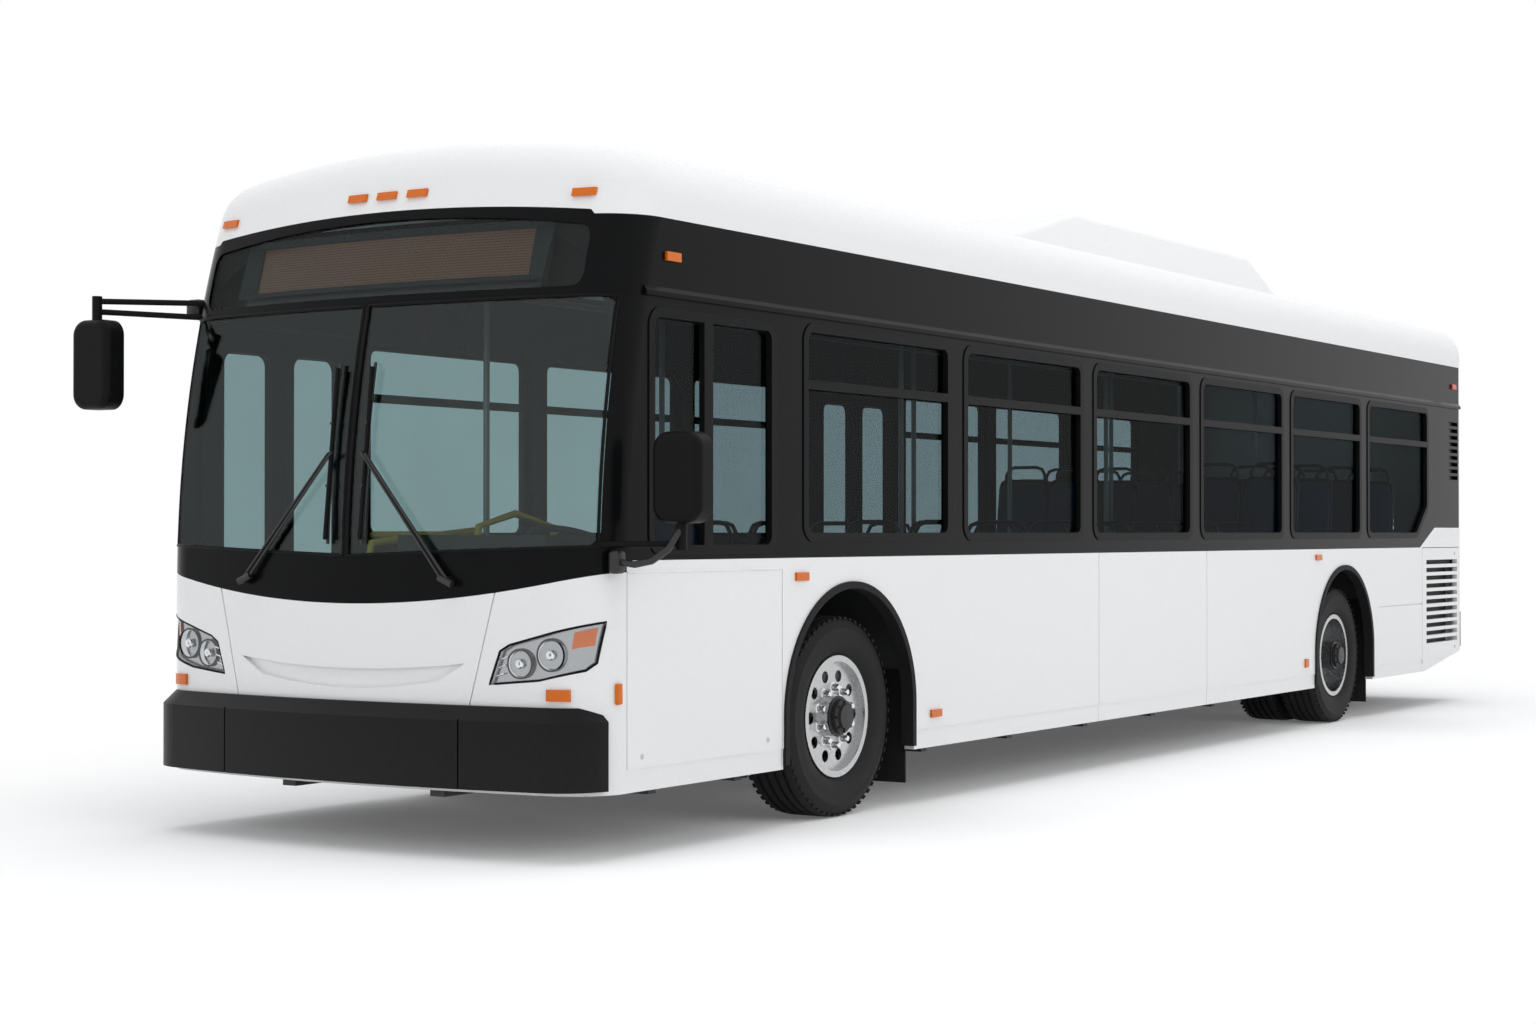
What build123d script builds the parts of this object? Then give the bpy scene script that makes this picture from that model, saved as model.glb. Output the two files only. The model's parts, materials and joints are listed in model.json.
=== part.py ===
from build123d import *
import os
from math import atan2, cos, pi, sin, sqrt, tan, radians

# City bus with a low floor, two double doors on the right side and a rear engine.
# Millimetres. X forward, Y left, Z up, origin on the ground at the middle of the length.

# Overall sizes
LENGTH = 12600
WIDTH = 2590
FRONT_OVERHANG = 2340
REAR_OVERHANG = 3060
WALL = 60
FIT = 0.3
DOOR_GAP = 5
FAR = 20000

# Body heights
SKIRT_Z = 290
CREASE_Z = 390
BELT_Z = 1290
RAIL_Z = 2445
BAND_TOP_Z = 2795
ROOF_Z = 3190

# Body curves
BUMPER_DEPTH = 85
REAR_BUMPER_DEPTH = 75
BOW_R = 6200
CORNER_R = 260
RAKE_R = 5755
RAKE_Z = 1150
CROWN_R = 8000
SHOULDER_R = 240
REAR_EDGE_R = 150
CREASE_DEPTH = 5
SEAM = 8

# Places along the body
NOSE_X = LENGTH / 2
TAIL_X = -LENGTH / 2
HALF_W = WIDTH / 2
INNER_W = HALF_W - WALL
BODY_FRONT_X = NOSE_X - BUMPER_DEPTH
BODY_REAR_X = TAIL_X + REAR_BUMPER_DEPTH
FRONT_AXLE_X = NOSE_X - FRONT_OVERHANG
REAR_AXLE_X = TAIL_X + REAR_OVERHANG
BOW_X = BODY_FRONT_X - BOW_R
CORNER_Y = HALF_W - CORNER_R
CORNER_X = BOW_X + sqrt((BOW_R - CORNER_R) ** 2 - CORNER_Y ** 2)
SHELL_MARGIN = 500
JOIN_BACK = 1000
RAKE_SWEEP = 29
SKIN_DROP = 200
REAR_SEAM_X = BODY_REAR_X + REAR_EDGE_R

# Front end
MASK_LOW_MID_Z = 1095
MASK_LOW_SIDE_Z = 1240
MASK_TOP_MID_Z = 2870
SCREEN_LOW_MID_Z = 1308
SCREEN_LOW_SIDE_Z = 1350
SCREEN_TOP_Z = 2435
SCREEN_SIDE_Y = 1255
SCREEN_CORNER_R = 60
DIVIDER = 26
SIGN_LOW_Z = 2475
SIGN_TOP_SIDE_Z = 2745
SIGN_TOP_MID_Z = 2825
SIGN_OUT = 85
SIGN_HALF_W = CORNER_Y + SIGN_OUT
SIGN_BACK = 300
GLASS_T = 6
GLASS_DEPTH = 6
DISPLAY_T = 40
DISPLAY_IN = 240
DISPLAY_HALF_W = SIGN_HALF_W - DISPLAY_IN
DISPLAY_LOW_Z = 2462
DISPLAY_TOP_Z = 2790
LAMP_DEPTH = 45
LAMP_CORNERS = [
    # y, z
    (784, 757),
    (836, 902),
    (882, 929),
    (1100, 988),
    (1268, 1029),
    (1246, 855),
    (1215, 824),
    (1028, 779),
]
SMILE_DEPTH = 25
SMILE_TOP_HALF_W = 660
SMILE_TOP_Z = 845
SMILE_TOP_MID_Z = 808
SMILE_LOW_HALF_W = 530
SMILE_LOW_Z = 768
SMILE_LOW_MID_Z = 721
NOSE_SEAM_TOP_Y = 846
NOSE_SEAM_TOP_Z = 1300
NOSE_SEAM_LOW_Y = 587
NOSE_SEAM_LOW_Z = 300
SKIN_OUT = 50

# Side windows
WINDOW_LOW_Z = 1365
WINDOW_TOP_Z = 2420
WINDOW_R = 90
FRAME_W = 45
FRAME_PROUD = 6
FRAME_T = 24
TRANSOM_Z = 2100
TRANSOM_H = 45
WINDOW_GAP = 137
WINDOW_SLANT = 300
SLANT_RISE = 0.8
DRIVER_X_FRONT = NOSE_X - 595
DRIVER_X_REAR = NOSE_X - 1635
DRIVER_LOW_Z = 1310
DRIVER_TOP_Z = 2400

# Doorways, front edge and length
DOOR_TO_CORNER = 60
FRONT_DOOR = (CORNER_X - DOOR_TO_CORNER, 1024)
REAR_DOOR_BACK = 240
REAR_DOOR = ((FRONT_AXLE_X + REAR_AXLE_X) / 2 - REAR_DOOR_BACK, 1100)
DOOR_T = 40
DOOR_LOW_Z = 342
DOOR_TOP_Z = 2425
DOOR_JAMB_GAP = 8
DOOR_MEET_GAP = 10
DOOR_STILE = 75
DOOR_GLASS_LOW_Z = 470
DOOR_GLASS_TOP_Z = 2300
DOOR_PIN_R = 12
DOOR_GLASS_R = 60

# Rows of side windows between fixed places along the body
DOOR_TO_WINDOW = 120
WINDOW_COUNT_LEFT = 6
WINDOW_COUNT_RIGHT = 3
WINDOW_ROWS_LEFT = [
    # front x, rear x, count, slant at the last lower rear corner
    (NOSE_X - 1877, TAIL_X + 1056, WINDOW_COUNT_LEFT, WINDOW_SLANT),
]
WINDOW_ROWS_RIGHT = [
    # front x, rear x, count, slant at the last lower rear corner
    (FRONT_DOOR[0] - FRONT_DOOR[1] - DOOR_TO_WINDOW, REAR_DOOR[0] + DOOR_TO_WINDOW, WINDOW_COUNT_RIGHT, 0),
    (REAR_DOOR[0] - REAR_DOOR[1] - DOOR_TO_WINDOW, TAIL_X + 1056, WINDOW_COUNT_RIGHT, WINDOW_SLANT),
]

# Lids
LID_T = 40
HINGE_R = 6
ACCESS_X = NOSE_X - 1693
ACCESS_TOP_Z = 1240
RADIATOR_X = TAIL_X + 1210
GRILLE_X = TAIL_X + 1105
GRILLE_LENGTH = 830
GRILLE_LOW_Z = 512
GRILLE_SLOTS = 11
GRILLE_PITCH = 64
GRILLE_SLOT_H = 36
STEP_X = TAIL_X + 1270
STEP_RISE_X = TAIL_X + 890
STEP_Z = 1450
KICK_X = TAIL_X + 1140
KICK_Z = 438
ENGINE_DOOR_HALF_W = 900
ENGINE_DOOR_LOW_Z = 790
ENGINE_DOOR_TOP_Z = 1750

# Wheels
TYRE_R = 499
TYRE_W = 300
BEAD_R = 286
WHEEL_Y = 1085
TWIN_SPACING = 340
KINGPIN_Y = 930
KINGPIN_R = 25
SPINDLE_R = 40
RUN_FIT = 0.05
ARCH_R = 635
ARCH_Z = 535
LIP_W = 35
LIP_PROUD = 12
LIP_RISE = 20
WELL_HALF_X = 650
WELL_TOP_Z = 1150
WELL_T = 25
FRONT_WELL_Y = 545
REAR_WELL_Y = 545

# Floor
FLOOR_Z = 380
FLOOR_T = 50
DECK_Z = 780
DECK_X = REAR_AXLE_X + 1340
COVER_Z = 1200
COVER_X = TAIL_X + 1550

# Header and side details
RAIL_PROUD = 18
RAIL_FRONT_X = NOSE_X - 560
RAIL_H = 42
LOUVRE_X = TAIL_X + 500
LOUVRE_LENGTH = 240
LOUVRE_DEPTH = 30
LOUVRE_LOW_Z = 1850
LOUVRE_SLOTS = 9
LOUVRE_PITCH = 56
LOUVRE_SLOT_H = 32
PANE_LAP = 20
PANE_T = 6
DRIVER_BAR_X = NOSE_X - 1060
DRIVER_BAR_W = 70
SIDE_SEAMS_X = [FRONT_AXLE_X - 2886, REAR_AXLE_X + 2652]
REAR_SEAM_Z = 833
REAR_SEAM_BACK = 785
ROD_RISE = 60
VENT_HALF_W = 700
VENT_LOW_Z = 1380
VENT_SLOTS = 5
VENT_PITCH = 60
VENT_SLOT_H = 30

# Bumpers and flaps
BUMPER_LOW_Z = 310
BUMPER_H = 355
BUMPER_CHAMFER = 60
BUMPER_END_X = NOSE_X - 310
BUMPER_SEAM_Y = 690
REAR_BUMPER_HALF_W = 1250
REAR_BUMPER_LOW_Z = 450
REAR_BUMPER_TOP_Z = 740
FLAP_T = 10
FLAP_LOW_Z = 115
FLAPS = [
    # axle x, inner y, top z
    (FRONT_AXLE_X, 940, 700),
    (REAR_AXLE_X, 600, 900),
]
SILL_LAP = 60

# Underframe and engine
RAIL_DEPTH = 80
REAR_RAIL_DEPTH = 130
FRAME_Y = 400
FRAME_RAIL_W = 80
FRAME_POST = 80
CROSS_W = 60
CROSS_HALF_Y = 1170
CROSS_FRONT_X = [NOSE_X - 800, NOSE_X - 1500]
CROSS_FIRST_X = FRONT_AXLE_X - 960
CROSS_LAST_X = DECK_X + 900
CROSS_COUNT = 5
CROSS_HIGH_X = [REAR_AXLE_X + 840, REAR_AXLE_X - 1060, TAIL_X + 190]
TOW_X = NOSE_X - 200
TOW_INSET = 60
TOW_R = 22
ENGINE_X = TAIL_X + 1350
ENGINE_LENGTH = 1100
ENGINE_HALF_W = 380
ENGINE_LOW_Z = 430
CORE_GAP = 40
CORE_T = 110
CORE_LOW_Z = 480

# Axles
BEAM_KNEE_Y = 640
BEAM_Z = 200
BEAM_H = 80
BEAM_W = 110
EYE_R = 50
EYE_H = 90
LIMB_FLAT = 100
LUG_GAP = 5
LUG_H = 28
LUG_W = 90
SPRING_R = 90
SPRING_Y = 300
REAR_SPRING_Y = 300
REAR_TUBE_R = 75
REAR_TUBE_END_Y = 520
DIFF_R = 190
DIFF_W = 300
PINION_R = 80
PINION_LENGTH = 150
SPINDLE_REACH = 110
RUN_END = 4

# Tyre and rim sections
BEAD_HALF = 112
TREAD_IN = 28
SHOULDER_DROP = 26
SHOULDER_IN = 4
SIDEWALL_RISE = 110
BARREL_T = 14
FLANGE_T = 12
FLANGE_H = 16
DISC_T = 16
FRONT_DISC_Y = 76
HUB_R = 100
HUB_BACK_Y = -50
HUB_NOSE = 50
HAND_HOLES = 10
HAND_HOLE_RING = 205
HAND_HOLE_R = 30
REAR_HUB_BACK = 130
REAR_CAP_T = 14

# Roof unit
POD_REAR_X = REAR_AXLE_X + 200
POD_TOP_REAR_X = POD_REAR_X + 360
POD_TOP_FRONT_X = POD_REAR_X + 3330
POD_FRONT_X = POD_REAR_X + 4740
POD_HALF_W = 900
POD_TOP_HALF_W = 760
POD_Z = 3430
POD_SINK = 80
POD_EDGE_R = 50

# Driver's place
DASH_X = NOSE_X - 660
DASH_RIGHT_Y = -700
DASH_LOW_Z = 850
DASH_TOP_Z = 1290
BINNACLE_X = NOSE_X - 740
BINNACLE_Y = 250
BINNACLE_W = 760
BINNACLE_Z = 1400
STEER_X = NOSE_X - 970
STEER_Y = 630
STEER_Z = 1330
STEER_TILT = 25
STEER_R = 235
STEER_RIM_R = 16
STEER_HUB_R = 55
STEER_HUB_H = 60
SPOKE_W = 36
SPOKE_T = 14
COLUMN_R = 40
DRIVER_X = NOSE_X - 1600
DRIVER_RISE = 120
DRIVER_HALF_W = 240

# Seats
SEAT_H = 440
SEAT_FOOT = 260
SEAT_DEPTH = 460
CUSHION_T = 80
BACK_T = 70
BACK_LEAN = 90
BACK_H = 1000
SEAT_IN_Y = 350
SEAT_OUT_Y = 1210
DECK_SEAT_RISE = 40
SEAT_PITCH = 720
FIRST_SEAT_X = FRONT_AXLE_X - 1400
LAST_SEAT_LEFT_X = DECK_X + 140
LAST_SEAT_RIGHT_X = REAR_DOOR[0] + 280
WELL_SEAT_Z = 1175
HIGH_SEATS = [
    # back x, height of the foot
    (REAR_AXLE_X + 760, DECK_Z),
    (REAR_AXLE_X + 60, WELL_SEAT_Z),
    (REAR_AXLE_X - 620, WELL_SEAT_Z),
    (REAR_AXLE_X - 1360, DECK_Z),
]

# Grab posts
POST_R = 16
POST_Y = 420
AISLE_POST_Y = 300
POSTS = [
    # x, y, floor z
    (NOSE_X - 1600, -POST_Y, FLOOR_Z),
    (FRONT_AXLE_X - 810, POST_Y, FLOOR_Z),
    (FRONT_AXLE_X - 810, -POST_Y, FLOOR_Z),
    (FRONT_AXLE_X - 2260, AISLE_POST_Y, FLOOR_Z),
    (REAR_DOOR[0] + 130, -POST_Y, FLOOR_Z),
    (REAR_DOOR[0] - 1270, -POST_Y, FLOOR_Z),
    (DECK_X + 700, AISLE_POST_Y, FLOOR_Z),
    (REAR_AXLE_X + 640, AISLE_POST_Y, DECK_Z),
    (REAR_AXLE_X + 640, -AISLE_POST_Y, DECK_Z),
    (REAR_AXLE_X - 760, AISLE_POST_Y, DECK_Z),
    (REAR_AXLE_X - 760, -AISLE_POST_Y, DECK_Z),
]

# Mirrors and wipers
MIRROR_Y = 1570
MIRROR_W = 250
MIRROR_DEPTH = 110
MIRROR_CORNER_R = 75
MIRROR_EDGE_R = 35
RIGHT_MIRROR_X = NOSE_X - 70
RIGHT_MIRROR_Z = 2215
RIGHT_MIRROR_H = 430
LEFT_MIRROR_X = NOSE_X - 450
LEFT_MIRROR_Z = 1645
LEFT_MIRROR_H = 390
ARM_R = 14
ARM_RISE = 90
ARM_PAIR = 70
ARM_PAIR_DROP = 50
DROP_R = 24
ARM_ROOT = 160
WIPER_PIVOT_Z = 1200
WIPER_PIVOT_R = 22
WIPER_STAND = 30
WIPER_ARM_R = 9
WIPER_BLADE_R = 10
WIPER_LOW_Z = 1380
WIPER_TOP_Z = 2150
WIPERS = [
    # pivot y, blade y
    (-610, -95),
    (590, 110),
]

# Lamps
LENS_T = 14
SIDE_AMBER = [
    # x, z, length, height
    (FRONT_AXLE_X + 481, 1200, 110, 40),
    (FRONT_AXLE_X - 854, 465, 110, 40),
    (REAR_AXLE_X + 570, 1230, 110, 40),
    (NOSE_X - 776, 2627, 110, 40),
    (REAR_AXLE_X + 821, 478, 60, 60),
]
NOSE_AMBER = [
    # y, z, width, height
    (1117, 718, 98, 50),
    (-1117, 718, 98, 50),
    (0, 2945, 110, 36),
    (178, 2945, 110, 36),
    (-178, 2945, 110, 36),
    (1060, 2895, 110, 36),
    (-1060, 2895, 110, 36),
]
SIDE_RED = [
    # x, z, length, height
    (TAIL_X + 380, 2626, 110, 40),
]
TAIL_LAMPS = [
    # y, z, radius
    (1090, 900, 60),
    (1090, 1050, 60),
    (1090, 1200, 60),
    (1090, 2600, 50),
]


def box(x0, x1, y0, y1, z0, z1):
    return Pos((x0 + x1) / 2, (y0 + y1) / 2, (z0 + z1) / 2) * Box(abs(x1 - x0), abs(y1 - y0), abs(z1 - z0))


def tube(start, end, radius):
    line = Line(start, end)
    plane = Plane(origin=start, z_dir=line % 0)
    return extrude(plane * Circle(radius), line.length)


def slab_y(sketch, y_low, y_high):
    return extrude(Plane.XZ.offset(-y_high) * sketch, y_high - y_low)


def slab_x(sketch, x_low, x_high):
    return extrude(Plane.YZ.offset(x_low) * sketch, x_high - x_low)


def rounded(x0, x1, z0, z1, radius):
    return Pos((x0 + x1) / 2, (z0 + z1) / 2) * RectangleRounded(abs(x1 - x0), abs(z1 - z0), radius)


def polygon(*points):
    return make_face(Polyline(*points, close=True))


def twin(shape):
    return mirror(shape, about=Plane.XZ)


def save(name, *shapes):
    solids = [s for shape in shapes for s in shape.solids()]
    export_step(solids[0] if len(solids) == 1 else Compound(children=solids), f"parts/{name}.step")


def nose_outline(inset, back_x):
    half = HALF_W - inset
    corner_r = CORNER_R - inset
    bow_r = BOW_R - inset
    turn = atan2(CORNER_Y, CORNER_X - BOW_X)
    middle = (turn + pi / 2) / 2
    meet = (BOW_X + bow_r * cos(turn), bow_r * sin(turn))
    bend = (CORNER_X + corner_r * cos(middle), CORNER_Y + corner_r * sin(middle))
    edges = [
        Line((back_x, half), (CORNER_X, half)),
        ThreePointArc((CORNER_X, half), bend, meet),
        ThreePointArc(meet, (BOW_X + bow_r, 0), (meet[0], -meet[1])),
        ThreePointArc((meet[0], -meet[1]), (bend[0], -bend[1]), (CORNER_X, -half)),
        Line((CORNER_X, -half), (back_x, -half)),
        Line((back_x, -half), (back_x, half)),
    ]
    return make_face(Curve() + edges)


def envelope(inset, bottom_z):
    join_x = CORNER_X - JOIN_BACK
    outline = nose_outline(inset, join_x)
    lower = extrude(Plane.XY.offset(bottom_z) * outline, RAKE_Z - bottom_z)
    rake_axis = Axis((BODY_FRONT_X - RAKE_R, 0, RAKE_Z), (0, -1, 0))
    upper = revolve(Plane.XY.offset(RAKE_Z) * outline, axis=rake_axis, revolution_arc=RAKE_SWEEP)
    half = HALF_W - inset
    rear_x = BODY_REAR_X + inset
    main = box(rear_x, CORNER_X - SHELL_MARGIN, -half, half, bottom_z, ROOF_Z + SHELL_MARGIN)
    crown = Pos(0, 0, ROOF_Z - CROWN_R) * Rot(0, 90, 0) * Cylinder(CROWN_R - inset, 2 * LENGTH)
    block = ((lower + upper + main) & crown).solids()[0]
    top_edges = block.edges().filter_by(lambda e: e.center().Z > BAND_TOP_Z and e.center().X > rear_x + 1)
    top_edges = top_edges.filter_by(lambda e: e.bounding_box().size.Y > 1 or abs(e.center().Y) > half - 1)
    block = fillet(top_edges, SHOULDER_R - inset)
    rear_face = block.faces().sort_by(Axis.X)[0]
    rear_edges = rear_face.edges().filter_by(lambda e: e.center().Z > bottom_z + 1)
    return fillet(rear_edges, REAR_EDGE_R - inset)


def skin(depth_out, depth_in):
    return envelope(depth_out, SKIRT_Z - SKIN_DROP) - envelope(depth_in, 0)


def arc_above(side_z, middle_z):
    edge = ThreePointArc((-HALF_W, side_z), (0, middle_z), (HALF_W, side_z))
    rest = Polyline((HALF_W, side_z), (FAR, side_z), (FAR, FAR), (-FAR, FAR), (-FAR, side_z), (-HALF_W, side_z))
    return slab_x(make_face(Curve() + [edge] + rest.edges()), CORNER_X, NOSE_X + SHELL_MARGIN)


os.makedirs("parts", exist_ok=True)

# Body shell
outer = envelope(0, SKIRT_Z)
inner = envelope(WALL, 0)
shell = outer - inner
nose = shell & box(CORNER_X, NOSE_X + SHELL_MARGIN, -FAR, FAR, 0, FAR)
above_belt = arc_above(MASK_LOW_SIDE_Z, MASK_LOW_MID_Z)
above_mask = arc_above(BAND_TOP_Z, MASK_TOP_MID_Z)

# Front mask with screen and sign openings
screen = polygon(
    (DIVIDER / 2, SCREEN_LOW_MID_Z),
    (SCREEN_SIDE_Y, SCREEN_LOW_SIDE_Z),
    (SCREEN_SIDE_Y, SCREEN_TOP_Z),
    (DIVIDER / 2, SCREEN_TOP_Z),
)
outer_corners = screen.vertices().sort_by(Axis.X)[2:]
screen = fillet(outer_corners, SCREEN_CORNER_R)
sign_edges = [
    Line((-SIGN_HALF_W, SIGN_LOW_Z), (SIGN_HALF_W, SIGN_LOW_Z)),
    Line((SIGN_HALF_W, SIGN_LOW_Z), (SIGN_HALF_W, SIGN_TOP_SIDE_Z)),
    ThreePointArc((SIGN_HALF_W, SIGN_TOP_SIDE_Z), (0, SIGN_TOP_MID_Z), (-SIGN_HALF_W, SIGN_TOP_SIDE_Z)),
    Line((-SIGN_HALF_W, SIGN_TOP_SIDE_Z), (-SIGN_HALF_W, SIGN_LOW_Z)),
]
sign = make_face(Curve() + sign_edges)
sign = fillet(sign.vertices(), SCREEN_CORNER_R)
openings = [slab_x(screen, CORNER_X, FAR), twin(slab_x(screen, CORNER_X, FAR)), slab_x(sign, CORNER_X - SIGN_BACK, FAR)]
front_mask = (nose & above_belt) - above_mask - openings
save("front_mask", front_mask)

# Screen glass and sign glass
pane = skin(GLASS_DEPTH, GLASS_DEPTH + GLASS_T)
screen_cut = slab_x(offset(screen, -FIT), CORNER_X, FAR)
sign_cut = slab_x(offset(sign, -FIT), CORNER_X - SIGN_BACK, FAR)
save("front_glass", pane & screen_cut, pane & twin(screen_cut), pane & sign_cut)

# Sign display behind its glass
display_outline = Pos(0, (DISPLAY_LOW_Z + DISPLAY_TOP_Z) / 2) * Rectangle(
    2 * DISPLAY_HALF_W, DISPLAY_TOP_Z - DISPLAY_LOW_Z
)
display_cut = slab_x(display_outline, CORNER_X - SIGN_BACK, FAR)
save("sign_display", skin(WALL + FIT, WALL + DISPLAY_T) & display_cut)

# Front panel with lamp pockets, smile recess and seams
lamp = polygon(*LAMP_CORNERS)
lamp_cut = slab_x(lamp, CORNER_X, FAR)
lamp_pocket = skin(-SKIN_OUT, LAMP_DEPTH) & (lamp_cut + twin(lamp_cut))
smile_left_top = (-SMILE_TOP_HALF_W, SMILE_TOP_Z)
smile_right_top = (SMILE_TOP_HALF_W, SMILE_TOP_Z)
smile_left_low = (-SMILE_LOW_HALF_W, SMILE_LOW_Z)
smile_right_low = (SMILE_LOW_HALF_W, SMILE_LOW_Z)
smile_edges = [
    ThreePointArc(smile_left_top, (0, SMILE_TOP_MID_Z), smile_right_top),
    Line(smile_right_top, smile_right_low),
    ThreePointArc(smile_right_low, (0, SMILE_LOW_MID_Z), smile_left_low),
    Line(smile_left_low, smile_left_top),
]
smile = skin(-SKIN_OUT, SMILE_DEPTH) & slab_x(make_face(Curve() + smile_edges), CORNER_X, FAR)
seam_line = polygon(
    (NOSE_SEAM_TOP_Y, NOSE_SEAM_TOP_Z),
    (NOSE_SEAM_TOP_Y + SEAM, NOSE_SEAM_TOP_Z),
    (NOSE_SEAM_LOW_Y + SEAM, NOSE_SEAM_LOW_Z),
    (NOSE_SEAM_LOW_Y, NOSE_SEAM_LOW_Z),
)
seam_cut = slab_x(seam_line, CORNER_X, FAR)
seams = skin(-SKIN_OUT, SEAM) & (seam_cut + twin(seam_cut))
front_panel = nose - above_belt - lamp_pocket - smile - seams
save("front_panel", front_panel)
lamp_body_cut = slab_x(offset(lamp, -FIT), CORNER_X, FAR)
lamp_skin = skin(0, LAMP_DEPTH - FIT)
save("headlamps", lamp_skin & lamp_body_cut, lamp_skin & twin(lamp_body_cut))

# Roof with the white front brow
side_roof = (shell & box(-FAR, CORNER_X, -FAR, FAR, BAND_TOP_Z, FAR)).solids()[0]
brow = nose & above_mask
roof = side_roof + brow
save("roof", roof)

# Header panels over the windows, each with a drip rail
side_shell = shell & box(REAR_SEAM_X, CORNER_X, 0, FAR, 0, FAR)
drip_rail = polygon(
    (HALF_W, RAIL_Z),
    (HALF_W + RAIL_PROUD, RAIL_Z),
    (HALF_W + RAIL_PROUD, RAIL_Z + RAIL_H / 2),
    (HALF_W, RAIL_Z + RAIL_H),
)
header = side_shell & box(-FAR, FAR, 0, FAR, RAIL_Z, BAND_TOP_Z)
header = header + slab_x(drip_rail, REAR_SEAM_X, RAIL_FRONT_X)
save("header_panels", header, twin(header))

# Window bands
def window(front_x, length, slant=0):
    rear_x = front_x - length
    corners = [(front_x, WINDOW_LOW_Z), (front_x, WINDOW_TOP_Z), (rear_x, WINDOW_TOP_Z)]
    if slant:
        corners += [(rear_x, WINDOW_LOW_Z + slant * SLANT_RISE), (rear_x + slant, WINDOW_LOW_Z)]
    else:
        corners += [(rear_x, WINDOW_LOW_Z)]
    face = polygon(*corners)
    return fillet(face.vertices(), WINDOW_R)


def window_row(front_x, rear_x, count, slant):
    pitch = (front_x - rear_x + WINDOW_GAP) / count
    row = [window(front_x - i * pitch, pitch - WINDOW_GAP) for i in range(count - 1)]
    row.append(window(front_x - (count - 1) * pitch, pitch - WINDOW_GAP, slant))
    return row


def through(outline):
    return slab_y(outline, 0, FAR)


band = side_shell & box(-FAR, FAR, 0, FAR, BELT_Z, RAIL_Z)
step = slab_y(
    polygon(
        (STEP_X, BELT_Z),
        (STEP_RISE_X, STEP_Z),
        (REAR_SEAM_X, STEP_Z),
        (REAR_SEAM_X, BELT_Z),
    ),
    INNER_W,
    HALF_W,
)
louvres = [
    box(LOUVRE_X, LOUVRE_X - LOUVRE_LENGTH, HALF_W - LOUVRE_DEPTH, FAR, z, z + LOUVRE_SLOT_H)
    for z in (LOUVRE_LOW_Z + i * LOUVRE_PITCH for i in range(LOUVRE_SLOTS))
]
band = band - step - louvres
left_windows = [w for row in WINDOW_ROWS_LEFT for w in window_row(*row)]
right_windows = [w for row in WINDOW_ROWS_RIGHT for w in window_row(*row)]
driver_window = rounded(DRIVER_X_REAR, DRIVER_X_FRONT, DRIVER_LOW_Z, DRIVER_TOP_Z, WINDOW_R)
doorways = [box(x - length, x, 0, FAR, 0, RAIL_Z) for x, length in (FRONT_DOOR, REAR_DOOR)]
save("window_band_left", band - [through(w) for w in left_windows] - through(driver_window))
save("window_band_right", twin(band - [through(w) for w in right_windows] - doorways))


# Window frames and panes
def window_frame(outline, bar):
    ring = offset(outline, -FIT) - (offset(outline, -FRAME_W) - bar)
    return slab_y(ring, HALF_W - FRAME_T, HALF_W + FRAME_PROUD)


def window_pane(outline):
    face = offset(outline, PANE_LAP - FRAME_W)
    return slab_y(face, HALF_W - FRAME_T - PANE_T - FIT, HALF_W - FRAME_T - FIT)


transom = Pos(0, TRANSOM_Z + TRANSOM_H / 2) * Rectangle(FAR, TRANSOM_H)
driver_bar = Pos(DRIVER_BAR_X, 0) * Rectangle(DRIVER_BAR_W, FAR)
left_frames = [window_frame(w, transom) for w in left_windows]
right_frames = [twin(window_frame(w, transom)) for w in right_windows]
save("window_frames", *left_frames, *right_frames, window_frame(driver_window, driver_bar))
left_panes = [window_pane(w) for w in left_windows]
right_panes = [twin(window_pane(w)) for w in right_windows]
save("side_glass", *left_panes, *right_panes, window_pane(driver_window))


# Lower sides with wheel arches
def arch(axle_x, radius):
    circle = Pos(axle_x, ARCH_Z) * Circle(radius)
    foot = Pos(axle_x, ARCH_Z - FAR / 2) * Rectangle(2 * radius, FAR)
    return circle + foot


kick = slab_y(polygon((KICK_X, SKIRT_Z), (BODY_REAR_X, KICK_Z), (BODY_REAR_X, 0), (KICK_X, 0)), -FAR, FAR)
side = box(REAR_SEAM_X, CORNER_X, INNER_W, HALF_W, SKIRT_Z, BELT_Z)
crease = box(-FAR, FAR, HALF_W - CREASE_DEPTH, FAR, 0, CREASE_Z)
seam_grooves = [box(x - SEAM / 2, x + SEAM / 2, HALF_W - SEAM, FAR, 0, BELT_Z) for x in SIDE_SEAMS_X]
arches = [slab_y(arch(x, ARCH_R), 0, FAR) for x in (FRONT_AXLE_X, REAR_AXLE_X)]
side = side - kick - crease - seam_grooves - arches
access_hole = box(ACCESS_X, FAR, 0, FAR, 0, ACCESS_TOP_Z)
radiator_hole = box(-FAR, RADIATOR_X, 0, FAR, 0, BELT_Z)
access_rod = Pos((ACCESS_X + CORNER_X) / 2, HALF_W, ACCESS_TOP_Z) * Rot(0, 90, 0) * Cylinder(
    HINGE_R, CORNER_X - ACCESS_X - 2 * DOOR_GAP
)
rod_low_z = SKIRT_Z + ROD_RISE
radiator_rod = Pos(RADIATOR_X, HALF_W, (rod_low_z + BELT_Z) / 2) * Cylinder(HINGE_R, BELT_Z - rod_low_z - 2 * DOOR_GAP)
rear_seam = box(RADIATOR_X, REAR_AXLE_X - REAR_SEAM_BACK, HALF_W - SEAM, FAR, REAR_SEAM_Z, REAR_SEAM_Z + SEAM)
left_side = side - access_hole - radiator_hole - rear_seam + access_rod + radiator_rod
save("lower_side_left", left_side)
save("lower_side_right", twin(side - doorways))

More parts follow.
